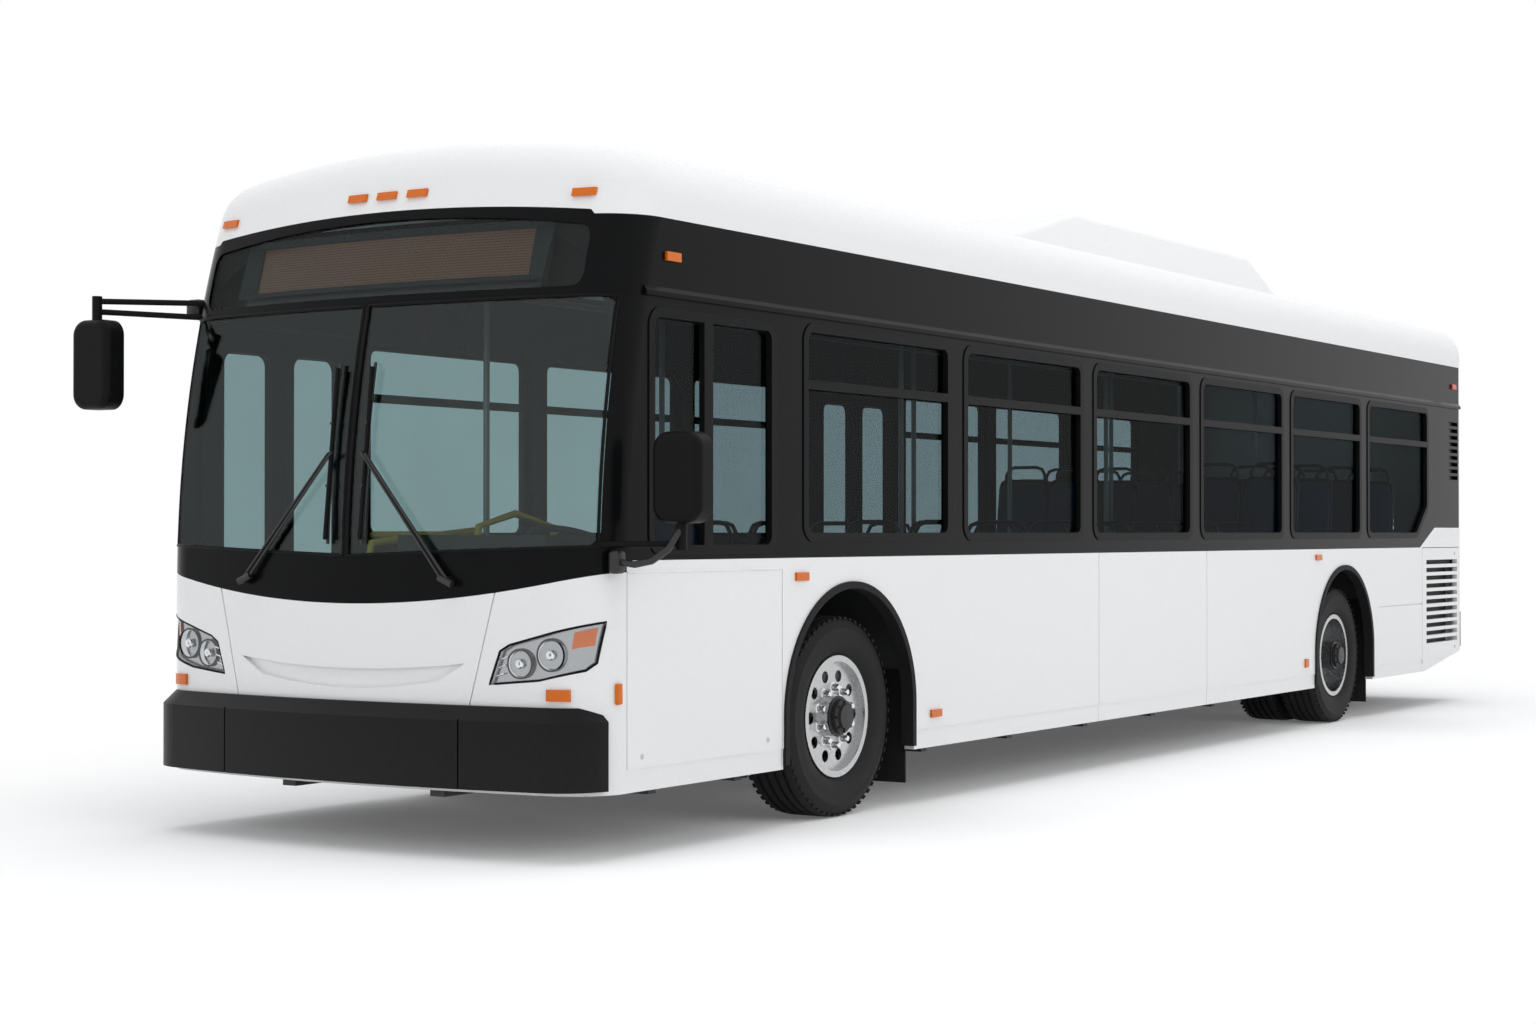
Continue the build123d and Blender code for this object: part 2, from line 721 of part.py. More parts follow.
# Access door at the front left, hung from its top edge
access_blank = box(
    ACCESS_X + DOOR_GAP, CORNER_X - DOOR_GAP, HALF_W - LID_T, HALF_W, SKIRT_Z, ACCESS_TOP_Z - DOOR_GAP
)
access_groove = Pos((ACCESS_X + CORNER_X) / 2, HALF_W, ACCESS_TOP_Z) * Rot(0, 90, 0) * Cylinder(HINGE_R + FIT, FAR / 4)
save("access_door", access_blank - crease - access_groove)

# Radiator door at the left rear, hung from its front edge
radiator_blank = box(
    REAR_SEAM_X + DOOR_GAP, RADIATOR_X - DOOR_GAP, HALF_W - LID_T, HALF_W, SKIRT_Z, BELT_Z - DOOR_GAP
)
slots = [
    box(GRILLE_X - GRILLE_LENGTH, GRILLE_X, 0, FAR, z, z + GRILLE_SLOT_H)
    for z in (GRILLE_LOW_Z + i * GRILLE_PITCH for i in range(GRILLE_SLOTS))
]
radiator_groove = Pos(RADIATOR_X, HALF_W, BELT_Z / 2) * Cylinder(HINGE_R + FIT, BELT_Z)
save("radiator_door", radiator_blank - kick - crease - slots - radiator_groove)

# Rear wall with the engine door opening and the white steps at its sides
engine_hole = box(
    -FAR, BODY_REAR_X + WALL + 1, -ENGINE_DOOR_HALF_W, ENGINE_DOOR_HALF_W, ENGINE_DOOR_LOW_Z, ENGINE_DOOR_TOP_Z
)
rear_part = shell & box(-FAR, REAR_SEAM_X, -FAR, FAR, 0, BAND_TOP_Z)
engine_rod = Pos(BODY_REAR_X, 0, ENGINE_DOOR_TOP_Z) * Rot(90, 0, 0) * Cylinder(
    HINGE_R, 2 * ENGINE_DOOR_HALF_W - 4 * DOOR_GAP
)
rear_wall = rear_part - kick - engine_hole + engine_rod
save("rear_wall", rear_wall + step + twin(step))

# Engine door, hung from its top edge
engine_blank = box(
    BODY_REAR_X,
    BODY_REAR_X + LID_T,
    DOOR_GAP - ENGINE_DOOR_HALF_W,
    ENGINE_DOOR_HALF_W - DOOR_GAP,
    ENGINE_DOOR_LOW_Z + DOOR_GAP,
    ENGINE_DOOR_TOP_Z - DOOR_GAP,
)
engine_groove = Pos(BODY_REAR_X, 0, ENGINE_DOOR_TOP_Z) * Rot(90, 0, 0) * Cylinder(HINGE_R + FIT, FAR / 4)
engine_slots = [
    box(-FAR, FAR, -VENT_HALF_W, VENT_HALF_W, z, z + VENT_SLOT_H)
    for z in (VENT_LOW_Z + i * VENT_PITCH for i in range(VENT_SLOTS))
]
save("engine_door", engine_blank - engine_groove - engine_slots)

# Bumpers
bumper_outer = extrude(Plane.XY.offset(BUMPER_LOW_Z) * Pos(BUMPER_DEPTH, 0) * nose_outline(0, 0), BUMPER_H)
top_edges = bumper_outer.edges().filter_by(lambda e: e.center().Z > BUMPER_LOW_Z + BUMPER_H - 1)
top_edges = top_edges.filter_by(lambda e: e.center().X > CORNER_X)
bumper_outer = chamfer(top_edges, BUMPER_CHAMFER)
bumper_core = envelope(-FIT, 0)
bumper_inset = extrude(Plane.XY * Pos(BUMPER_DEPTH, 0) * nose_outline(SEAM, 0), FAR)
bumper_seams = [
    box(CORNER_X, FAR, y - SEAM / 2, y + SEAM / 2, 0, FAR) - bumper_inset
    for y in (-BUMPER_SEAM_Y, BUMPER_SEAM_Y)
]
front_bumper = (bumper_outer - bumper_core) & box(BUMPER_END_X, FAR, -FAR, FAR, 0, FAR)
front_bumper = front_bumper - bumper_seams
save("front_bumper", front_bumper)
rear_bumper = box(TAIL_X, BODY_REAR_X - FIT, -REAR_BUMPER_HALF_W, REAR_BUMPER_HALF_W, REAR_BUMPER_LOW_Z, REAR_BUMPER_TOP_Z)
rear_edges = rear_bumper.edges().filter_by(Axis.Z).sort_by(Axis.X)[:2]
save("rear_bumper", fillet(rear_edges, REAR_BUMPER_DEPTH / 2))

# Rubber arch lips and mud flaps
lips = [
    slab_y(arch(x, ARCH_R - FIT) - arch(x, ARCH_R - LIP_W), HALF_W - WALL, HALF_W + LIP_PROUD)
    & box(-FAR, FAR, -FAR, FAR, SKIRT_Z + LIP_RISE, FAR)
    for x in (FRONT_AXLE_X, REAR_AXLE_X)
]
flaps = [
    box(x - WELL_HALF_X + FIT, x - WELL_HALF_X + FIT + FLAP_T, inner_y, INNER_W - FIT, FLAP_LOW_Z, top_z)
    for x, inner_y, top_z in FLAPS
]
save("arch_lips", *lips, *[twin(lip) for lip in lips])
save("mud_flaps", *flaps, *[twin(flap) for flap in flaps])

# Floor in one stepped sheet
floor_front_x = CORNER_X
cover_rear_x = BODY_REAR_X + WALL
floor_profile = polygon(
    (floor_front_x, FLOOR_Z - FLOOR_T),
    (floor_front_x, FLOOR_Z),
    (DECK_X + FLOOR_T, FLOOR_Z),
    (DECK_X + FLOOR_T, DECK_Z),
    (COVER_X + FLOOR_T, DECK_Z),
    (COVER_X + FLOOR_T, COVER_Z),
    (cover_rear_x, COVER_Z),
    (cover_rear_x, COVER_Z - FLOOR_T),
    (COVER_X, COVER_Z - FLOOR_T),
    (COVER_X, DECK_Z - FLOOR_T),
    (DECK_X, DECK_Z - FLOOR_T),
    (DECK_X, FLOOR_Z - FLOOR_T),
)
floor = slab_y(floor_profile, -INNER_W, INNER_W)
floor = floor & inner
well_holes = [
    box(x - WELL_HALF_X - WELL_T, x + WELL_HALF_X + WELL_T, inner_y - WELL_T, FAR, 0, COVER_Z - FLOOR_T - 1)
    for x, inner_y in ((FRONT_AXLE_X, FRONT_WELL_Y), (REAR_AXLE_X, REAR_WELL_Y))
]
floor = floor - well_holes - [twin(h) for h in well_holes]
sills = [
    box(x - length, x, -HALF_W, -INNER_W + SILL_LAP, SKIRT_Z, FLOOR_Z - FLOOR_T) for x, length in (FRONT_DOOR, REAR_DOOR)
]
floor = floor + sills
save("floor", floor)

# Wheel housings
def housing(axle_x, inner_y, low_z):
    reach = WELL_HALF_X + WELL_T
    block = box(axle_x - reach, axle_x + reach, inner_y - WELL_T, INNER_W, low_z, WELL_TOP_Z + WELL_T)
    return block - box(axle_x - WELL_HALF_X, axle_x + WELL_HALF_X, inner_y, FAR, 0, WELL_TOP_Z)


wells = [
    housing(FRONT_AXLE_X, FRONT_WELL_Y, FLOOR_Z - FLOOR_T),
    housing(REAR_AXLE_X, REAR_WELL_Y, DECK_Z - FLOOR_T),
]
save("wheel_housings", *wells, *[twin(w) for w in wells])

# Underframe below the low floor
rail_low_z = FLOOR_Z - FLOOR_T - RAIL_DEPTH
rail_top_z = FLOOR_Z - FLOOR_T
deck_low_z = DECK_Z - FLOOR_T
rail_y = FRAME_Y + FRAME_RAIL_W / 2
frame = [box(DECK_X, TOW_X, y - FRAME_RAIL_W / 2, y + FRAME_RAIL_W / 2, rail_low_z, rail_top_z) for y in (-rail_y, rail_y)]
cross_pitch = (CROSS_FIRST_X - CROSS_LAST_X) / (CROSS_COUNT - 1)
for x in CROSS_FRONT_X + [CROSS_FIRST_X - i * cross_pitch for i in range(CROSS_COUNT)]:
    frame.append(box(x - CROSS_W / 2, x + CROSS_W / 2, -CROSS_HALF_Y, CROSS_HALF_Y, rail_low_z, rail_top_z))
tow_bores = [Pos(TOW_X - TOW_INSET, y, rail_low_z) * Cylinder(TOW_R, 4 * RAIL_DEPTH) for y in (-rail_y, rail_y)]
save("underframe", frame[0].fuse(*frame[1:]) - tow_bores)

# Rear frame that rises to the deck
rear_frame = []
rear_rail_z = deck_low_z - REAR_RAIL_DEPTH
for y in (-rail_y, rail_y):
    y0 = y - FRAME_RAIL_W / 2
    y1 = y + FRAME_RAIL_W / 2
    rear_frame.append(box(DECK_X - FRAME_POST, DECK_X, y0, y1, rail_low_z, deck_low_z))
    rear_frame.append(box(cover_rear_x, DECK_X, y0, y1, rear_rail_z, deck_low_z))
for x in CROSS_HIGH_X:
    rear_frame.append(box(x - CROSS_W / 2, x + CROSS_W / 2, -FRAME_Y, FRAME_Y, rear_rail_z, deck_low_z))
save("rear_frame", rear_frame[0].fuse(*rear_frame[1:]))

# Engine block and radiator core in the tail
engine = box(ENGINE_X, ENGINE_X - ENGINE_LENGTH, -ENGINE_HALF_W, ENGINE_HALF_W, ENGINE_LOW_Z, COVER_Z - FLOOR_T - FIT)
core_y = HALF_W - WALL - CORE_GAP
core = box(GRILLE_X - GRILLE_LENGTH, GRILLE_X, core_y - CORE_T, core_y, CORE_LOW_Z, COVER_Z - FLOOR_T - FIT)
save("engine", engine, core)

# Front axle beam with kingpin eyes
def beam_end(side_sign):
    limb = polygon(
        (BEAM_KNEE_Y, BEAM_Z - BEAM_H / 2),
        (KINGPIN_Y - LIMB_FLAT, TYRE_R - EYE_H / 2),
        (KINGPIN_Y, TYRE_R - EYE_H / 2),
        (KINGPIN_Y, TYRE_R + EYE_H / 2),
        (KINGPIN_Y - LIMB_FLAT, TYRE_R + EYE_H / 2),
        (BEAM_KNEE_Y, BEAM_Z + BEAM_H / 2),
    )
    limb = slab_x(limb, FRONT_AXLE_X - BEAM_W / 2, FRONT_AXLE_X + BEAM_W / 2)
    boss = Pos(FRONT_AXLE_X, KINGPIN_Y, TYRE_R) * Cylinder(EYE_R, EYE_H)
    bore = Pos(FRONT_AXLE_X, KINGPIN_Y, TYRE_R) * Cylinder(KINGPIN_R + RUN_FIT, FAR / 10)
    end = limb + boss - bore
    return end if side_sign > 0 else twin(end)


beam = box(
    FRONT_AXLE_X - BEAM_W / 2,
    FRONT_AXLE_X + BEAM_W / 2,
    -BEAM_KNEE_Y,
    BEAM_KNEE_Y,
    BEAM_Z - BEAM_H / 2,
    BEAM_Z + BEAM_H / 2,
)
front_axle = beam + beam_end(1) + beam_end(-1)
save("front_axle", front_axle)

# Air springs that carry the body on the axles
front_springs = [
    Pos(FRONT_AXLE_X, y, (BEAM_Z + BEAM_H / 2 + FLOOR_Z - FLOOR_T) / 2)
    * Cylinder(SPRING_R, FLOOR_Z - FLOOR_T - BEAM_Z - BEAM_H / 2 - 2 * FIT)
    for y in (-SPRING_Y, SPRING_Y)
]
rear_springs = [
    Pos(REAR_AXLE_X, y, (TYRE_R + REAR_TUBE_R + deck_low_z) / 2)
    * Cylinder(SPRING_R, deck_low_z - TYRE_R - REAR_TUBE_R - 2 * FIT)
    for y in (-REAR_SPRING_Y, REAR_SPRING_Y)
]
save("air_springs", *front_springs, *rear_springs)

# Rear axle
rear_tube = Pos(REAR_AXLE_X, 0, TYRE_R) * Rot(90, 0, 0) * Cylinder(REAR_TUBE_R, 2 * REAR_TUBE_END_Y)
rear_spindle = Pos(REAR_AXLE_X, 0, TYRE_R) * Rot(90, 0, 0) * Cylinder(SPINDLE_R, 2 * (WHEEL_Y + SPINDLE_REACH))
differential = Pos(REAR_AXLE_X, 0, TYRE_R) * Rot(90, 0, 0) * Cylinder(DIFF_R, DIFF_W)
pinion = Pos(REAR_AXLE_X - DIFF_R, 0, TYRE_R) * Rot(0, 90, 0) * Cylinder(PINION_R, 2 * PINION_LENGTH)
seats_flat = [
    box(REAR_AXLE_X - SPRING_R, REAR_AXLE_X + SPRING_R, y - SPRING_R, y + SPRING_R, TYRE_R, TYRE_R + REAR_TUBE_R)
    for y in (-REAR_SPRING_Y, REAR_SPRING_Y)
]
rear_axle = rear_tube + rear_spindle + differential + pinion + seats_flat
save("rear_axle", rear_axle)

# Knuckles with kingpin and spindle
def knuckle():
    pin = Pos(FRONT_AXLE_X, KINGPIN_Y, TYRE_R) * Cylinder(KINGPIN_R, EYE_H + 2 * (LUG_GAP + LUG_H))
    plate_y = KINGPIN_Y + EYE_R + LUG_GAP
    plate = box(
        FRONT_AXLE_X - LUG_W / 2,
        FRONT_AXLE_X + LUG_W / 2,
        plate_y,
        plate_y + LUG_H,
        TYRE_R - EYE_H / 2 - LUG_GAP - LUG_H,
        TYRE_R + EYE_H / 2 + LUG_GAP + LUG_H,
    )
    lugs = []
    for low_z in (TYRE_R - EYE_H / 2 - LUG_GAP - LUG_H, TYRE_R + EYE_H / 2 + LUG_GAP):
        lug = box(FRONT_AXLE_X - LUG_W / 2, FRONT_AXLE_X + LUG_W / 2, KINGPIN_Y, plate_y, low_z, low_z + LUG_H)
        cap = Pos(FRONT_AXLE_X, KINGPIN_Y, low_z + LUG_H / 2) * Cylinder(LUG_W / 2, LUG_H)
        lugs.append(lug + cap)
    spindle_length = WHEEL_Y + SPINDLE_REACH - plate_y
    spindle = Pos(FRONT_AXLE_X, plate_y + spindle_length / 2, TYRE_R) * Rot(90, 0, 0) * Cylinder(
        SPINDLE_R, spindle_length
    )
    return plate + lugs + pin + spindle


save("knuckle_left", knuckle())
save("knuckle_right", twin(knuckle()))

# Tyres and rims, drawn as rings about the wheel axis
def ring_about(axle_x, wheel_y, points):
    face = Plane((axle_x, wheel_y, TYRE_R), x_dir=(0, 1, 0), z_dir=(1, 0, 0)) * polygon(*points)
    return revolve(face, axis=Axis((axle_x, wheel_y, TYRE_R), (0, 1, 0)))


def tyre(axle_x, wheel_y):
    half = TYRE_W / 2
    tread_half = half - TREAD_IN
    shoulder_r = TYRE_R - SHOULDER_DROP
    points = [
        (-BEAD_HALF, BEAD_R),
        (BEAD_HALF, BEAD_R),
        (BEAD_HALF, BEAD_R + FLANGE_H + FIT),
        (half, BEAD_R + SIDEWALL_RISE),
        (half - SHOULDER_IN, shoulder_r),
        (tread_half, TYRE_R),
        (-tread_half, TYRE_R),
        (SHOULDER_IN - half, shoulder_r),
        (-half, BEAD_R + SIDEWALL_RISE),
        (-BEAD_HALF, BEAD_R + FLANGE_H + FIT),
    ]
    return ring_about(axle_x, wheel_y, points)


def barrel(axle_x, wheel_y):
    outside = BEAD_R - FIT
    points = [
        (-BEAD_HALF - FIT - FLANGE_T, outside - BARREL_T),
        (BEAD_HALF + FIT + FLANGE_T, outside - BARREL_T),
        (BEAD_HALF + FIT + FLANGE_T, BEAD_R + FLANGE_H),
        (BEAD_HALF + FIT, BEAD_R + FLANGE_H),
        (BEAD_HALF + FIT, outside),
        (-BEAD_HALF - FIT, outside),
        (-BEAD_HALF - FIT, BEAD_R + FLANGE_H),
        (-BEAD_HALF - FIT - FLANGE_T, BEAD_R + FLANGE_H),
    ]
    return ring_about(axle_x, wheel_y, points)


def disc(axle_x, wheel_y, low_y, high_y):
    plate = Pos(axle_x, wheel_y + (low_y + high_y) / 2, TYRE_R) * Rot(90, 0, 0) * Cylinder(
        BEAD_R - BARREL_T / 2, high_y - low_y
    )
    holes = []
    for i in range(HAND_HOLES):
        turn = 2 * pi * i / HAND_HOLES
        x = axle_x + HAND_HOLE_RING * cos(turn)
        z = TYRE_R + HAND_HOLE_RING * sin(turn)
        holes.append(Pos(x, wheel_y, z) * Rot(90, 0, 0) * Cylinder(HAND_HOLE_R, FAR / 20))
    return plate - holes


def hub(axle_x, wheel_y, low_y, high_y):
    return Pos(axle_x, wheel_y + (low_y + high_y) / 2, TYRE_R) * Rot(90, 0, 0) * Cylinder(HUB_R, high_y - low_y)


def spindle_bore(axle_x, wheel_y, low_y, high_y):
    middle = wheel_y + (low_y + high_y) / 2
    return Pos(axle_x, middle, TYRE_R) * Rot(90, 0, 0) * Cylinder(SPINDLE_R + RUN_FIT, high_y - low_y)


front_rim = barrel(FRONT_AXLE_X, WHEEL_Y) + disc(FRONT_AXLE_X, WHEEL_Y, FRONT_DISC_Y, FRONT_DISC_Y + DISC_T)
front_rim = front_rim + hub(FRONT_AXLE_X, WHEEL_Y, HUB_BACK_Y, FRONT_DISC_Y + HUB_NOSE)
front_rim = front_rim - spindle_bore(FRONT_AXLE_X, WHEEL_Y, HUB_BACK_Y - 1, SPINDLE_REACH + RUN_END)
save("front_rim_left", front_rim)
save("front_rim_right", twin(front_rim))
front_tyre = tyre(FRONT_AXLE_X, WHEEL_Y)
save("front_tyre_left", front_tyre)
save("front_tyre_right", twin(front_tyre))

inner_wheel_y = WHEEL_Y - TWIN_SPACING
rear_rim = barrel(REAR_AXLE_X, WHEEL_Y) + barrel(REAR_AXLE_X, inner_wheel_y)
twin_disc_y = -TWIN_SPACING / 2
twin_disc = Pos(REAR_AXLE_X, WHEEL_Y + twin_disc_y, TYRE_R) * Rot(90, 0, 0) * Cylinder(
    BEAD_R - BARREL_T / 2, TWIN_SPACING - 2 * BEAD_HALF + 2 * DISC_T
)
rear_holes = disc(REAR_AXLE_X, WHEEL_Y, twin_disc_y - 200, twin_disc_y + 200)
rear_rim = rear_rim + (twin_disc & rear_holes)
rear_rim = rear_rim + hub(REAR_AXLE_X, WHEEL_Y, twin_disc_y - REAR_HUB_BACK, SPINDLE_REACH + RUN_END + REAR_CAP_T)
rear_rim = rear_rim - spindle_bore(REAR_AXLE_X, WHEEL_Y, twin_disc_y - REAR_HUB_BACK - 1, SPINDLE_REACH + RUN_END)
save("rear_rims_left", rear_rim)
save("rear_rims_right", twin(rear_rim))
rear_tyres = [tyre(REAR_AXLE_X, WHEEL_Y), tyre(REAR_AXLE_X, inner_wheel_y)]
save("rear_tyres_left", *rear_tyres)
save("rear_tyres_right", *[twin(t) for t in rear_tyres])

# Door leaves, hung on pins at the jambs
def leaf(hinge_x, meet_x):
    low_x = min(hinge_x, meet_x)
    high_x = max(hinge_x, meet_x)
    middle_y = -HALF_W + DOOR_T / 2
    panel = box(low_x, high_x, -HALF_W, -HALF_W + DOOR_T, DOOR_LOW_Z, DOOR_TOP_Z)
    stile = Pos(hinge_x, middle_y, (DOOR_LOW_Z + DOOR_TOP_Z) / 2) * Cylinder(DOOR_T / 2, DOOR_TOP_Z - DOOR_LOW_Z)
    pin_low_z = FLOOR_Z - FLOOR_T + FIT
    pin_top_z = RAIL_Z - FIT
    pin = Pos(hinge_x, middle_y, (pin_low_z + pin_top_z) / 2) * Cylinder(DOOR_PIN_R, pin_top_z - pin_low_z)
    light = rounded(low_x + DOOR_STILE, high_x - DOOR_STILE, DOOR_GLASS_LOW_Z, DOOR_GLASS_TOP_Z, DOOR_GLASS_R)
    return panel + stile + pin - slab_y(light, -FAR, 0)


def leaf_glass(hinge_x, meet_x):
    low_x = min(hinge_x, meet_x) + DOOR_STILE + FIT
    high_x = max(hinge_x, meet_x) - DOOR_STILE - FIT
    light = rounded(low_x, high_x, DOOR_GLASS_LOW_Z + FIT, DOOR_GLASS_TOP_Z - FIT, DOOR_GLASS_R - FIT)
    middle_y = -HALF_W + DOOR_T / 2
    return slab_y(light, middle_y - GLASS_T / 2, middle_y + GLASS_T / 2)


for name, (front_x, length) in (("front", FRONT_DOOR), ("rear", REAR_DOOR)):
    middle_x = front_x - length / 2
    fore_hinge_x = front_x - DOOR_JAMB_GAP - DOOR_T / 2
    aft_hinge_x = front_x - length + DOOR_JAMB_GAP + DOOR_T / 2
    save(f"{name}_door_fore", leaf(fore_hinge_x, middle_x + DOOR_MEET_GAP / 2))
    save(f"{name}_door_aft", leaf(aft_hinge_x, middle_x - DOOR_MEET_GAP / 2))
    save(f"{name}_door_fore_glass", leaf_glass(fore_hinge_x, middle_x + DOOR_MEET_GAP / 2))
    save(f"{name}_door_aft_glass", leaf_glass(aft_hinge_x, middle_x - DOOR_MEET_GAP / 2))

# Roof unit
pod_side = slab_y(
    polygon(
        (POD_FRONT_X, ROOF_Z - POD_SINK),
        (POD_TOP_FRONT_X, POD_Z),
        (POD_TOP_REAR_X, POD_Z),
        (POD_REAR_X, ROOF_Z - POD_SINK),
    ),
    -POD_HALF_W,
    POD_HALF_W,
)
pod_end = slab_x(
    polygon(
        (-POD_HALF_W, ROOF_Z - POD_SINK),
        (POD_HALF_W, ROOF_Z - POD_SINK),
        (POD_TOP_HALF_W, POD_Z),
        (-POD_TOP_HALF_W, POD_Z),
    ),
    -FAR,
    FAR,
)
pod = pod_side & pod_end
pod_edges = pod.edges().filter_by(lambda e: e.center().Z > ROOF_Z)
pod = fillet(pod_edges, POD_EDGE_R) - envelope(-FIT, 0)
save("roof_unit", pod)

# Dashboard inside the nose, with the steering column
dash = box(DASH_X, FAR, DASH_RIGHT_Y, FAR, DASH_LOW_Z, DASH_TOP_Z)
binnacle = box(BINNACLE_X, FAR, BINNACLE_Y, BINNACLE_Y + BINNACLE_W, DASH_LOW_Z, BINNACLE_Z)
dash_room = envelope(WALL + FIT, FLOOR_Z)
hub_half = STEER_HUB_H / 2 + FIT
column_top = (
    STEER_X + hub_half * sin(radians(STEER_TILT)),
    STEER_Y,
    STEER_Z - hub_half * cos(radians(STEER_TILT)),
)
column_foot = (column_top[0] + column_top[2] * tan(radians(STEER_TILT)), STEER_Y, 0)
column = tube(column_foot, column_top, COLUMN_R) & box(-FAR, FAR, -FAR, FAR, FLOOR_Z + FIT, FAR)
save("dashboard", (dash + binnacle) & dash_room, column)

# Steering wheel
steer_plane = Plane(
    (STEER_X, STEER_Y, STEER_Z), x_dir=(0, 1, 0), z_dir=(-sin(radians(STEER_TILT)), 0, cos(radians(STEER_TILT)))
)
rim_ring = steer_plane * Torus(STEER_R, STEER_RIM_R)
boss = steer_plane * Cylinder(STEER_HUB_R, STEER_HUB_H)
spokes = [
    steer_plane * Rot(0, 0, turn) * Pos(STEER_R / 2, 0, 0) * Box(STEER_R, SPOKE_W, SPOKE_T) for turn in (0, 120, 240)
]
save("steering_wheel", rim_ring + boss + spokes)

# Seats: each pair is one cushion and back on a pedestal
def seat_pair(back_x, floor_z, foot_z, inner_y, outer_y):
    cushion_z = floor_z + SEAT_H
    profile = polygon(
        (back_x, foot_z),
        (back_x + SEAT_FOOT, foot_z),
        (back_x + SEAT_FOOT, cushion_z - CUSHION_T),
        (back_x + SEAT_DEPTH, cushion_z - CUSHION_T),
        (back_x + SEAT_DEPTH, cushion_z),
        (back_x + BACK_T, cushion_z),
        (back_x - BACK_LEAN + BACK_T, floor_z + BACK_H),
        (back_x - BACK_LEAN, floor_z + BACK_H),
    )
    return slab_y(profile, inner_y, outer_y)


seats = []
low_left = int((FIRST_SEAT_X - LAST_SEAT_LEFT_X) // SEAT_PITCH) + 1
low_right = int((FIRST_SEAT_X - LAST_SEAT_RIGHT_X) // SEAT_PITCH) + 1
for i in range(low_left):
    pair = seat_pair(FIRST_SEAT_X - i * SEAT_PITCH, FLOOR_Z, FLOOR_Z + FIT, SEAT_IN_Y, SEAT_OUT_Y)
    seats.append(pair)
    if i < low_right:
        seats.append(twin(pair))
for x, foot_z in HIGH_SEATS:
    pair = seat_pair(x, DECK_Z + DECK_SEAT_RISE, foot_z + FIT, SEAT_IN_Y, SEAT_OUT_Y)
    seats.extend([pair, twin(pair)])
driver = seat_pair(DRIVER_X, FLOOR_Z + DRIVER_RISE, FLOOR_Z + FIT, STEER_Y - DRIVER_HALF_W, STEER_Y + DRIVER_HALF_W)
save("passenger_seats", *seats)
save("driver_seat", driver)

# Grab posts from floor to ceiling
def ceiling_z(y):
    return ROOF_Z - CROWN_R + sqrt((CROWN_R - WALL) ** 2 - y ** 2)


posts = []
for x, y, floor_z in POSTS:
    top_z = ceiling_z(abs(y) + POST_R) - FIT
    posts.append(tube((x, y, floor_z + FIT), (x, y, top_z), POST_R))
save("grab_posts", *posts)

# Mirrors
def mirror_head(x, y, z, width, height):
    head = Pos(x, y, z) * Box(MIRROR_DEPTH, width, height)
    head = fillet(head.edges().filter_by(Axis.X), MIRROR_CORNER_R)
    front_face = head.faces().sort_by(Axis.X)[-1]
    return fillet(front_face.edges(), MIRROR_EDGE_R)


def arm_root(side_sign, z):
    rake = RAKE_R - sqrt(RAKE_R ** 2 - max(z - RAKE_Z, 0) ** 2)
    return CORNER_X - rake + ARM_ROOT, side_sign * (CORNER_Y + ARM_ROOT), z


right_head = mirror_head(RIGHT_MIRROR_X, -MIRROR_Y, RIGHT_MIRROR_Z, MIRROR_W, RIGHT_MIRROR_H)
left_head = mirror_head(LEFT_MIRROR_X, MIRROR_Y, LEFT_MIRROR_Z, MIRROR_W, LEFT_MIRROR_H)
right_arm_z = RIGHT_MIRROR_Z + RIGHT_MIRROR_H / 2 + ARM_RISE
right_root = arm_root(-1, right_arm_z)
right_tip = (RIGHT_MIRROR_X, -MIRROR_Y, right_arm_z)
low_root = (right_root[0], right_root[1], right_arm_z - ARM_PAIR)
low_tip = (right_tip[0], right_tip[1], right_arm_z - ARM_PAIR_DROP)
right_arm = tube(right_root, right_tip, ARM_R) + tube(low_root, low_tip, ARM_R)
right_drop = tube((RIGHT_MIRROR_X, -MIRROR_Y, right_arm_z + DROP_R), (RIGHT_MIRROR_X, -MIRROR_Y, RIGHT_MIRROR_Z), DROP_R)
right_set = right_head + right_arm + right_drop - envelope(-FIT, 0)
left_arm_z = LEFT_MIRROR_Z - LEFT_MIRROR_H / 2 - ARM_RISE
left_root = arm_root(1, left_arm_z)
left_tip = (LEFT_MIRROR_X, MIRROR_Y, left_arm_z)
left_arm = tube(left_root, left_tip, ARM_R)
left_rise = tube((LEFT_MIRROR_X, MIRROR_Y, left_arm_z - DROP_R), (LEFT_MIRROR_X, MIRROR_Y, LEFT_MIRROR_Z), DROP_R)
left_set = left_head + left_arm + left_rise - envelope(-FIT, 0)
save("mirrors", right_set.solids().sort_by(SortBy.VOLUME)[-1], left_set.solids().sort_by(SortBy.VOLUME)[-1])

# Wipers resting upright beside the divider
def screen_x(y, z):
    rake = RAKE_R - sqrt(RAKE_R ** 2 - (z - RAKE_Z) ** 2)
    return BOW_X + sqrt(BOW_R ** 2 - y ** 2) - rake


wipers = []
for pivot_y, blade_y in WIPERS:
    spin_x = screen_x(pivot_y, WIPER_PIVOT_Z)
    pivot = tube((spin_x - 1, pivot_y, WIPER_PIVOT_Z), (spin_x + WIPER_STAND, pivot_y, WIPER_PIVOT_Z), WIPER_PIVOT_R)
    grip_z = (WIPER_LOW_Z + WIPER_TOP_Z) / 2
    grip = (screen_x(blade_y, grip_z) + WIPER_STAND, blade_y, grip_z)
    arm = tube((spin_x + WIPER_STAND, pivot_y, WIPER_PIVOT_Z), grip, WIPER_ARM_R)
    low = (screen_x(blade_y, WIPER_LOW_Z) + WIPER_STAND, blade_y, WIPER_LOW_Z)
    top = (screen_x(blade_y, WIPER_TOP_Z) + WIPER_STAND, blade_y, WIPER_TOP_Z)
    blade = tube(low, top, WIPER_BLADE_R)
    wipers.append(pivot + arm + blade - envelope(-FIT, 0))
save("wipers", *[w.solids().sort_by(SortBy.VOLUME)[-1] for w in wipers])

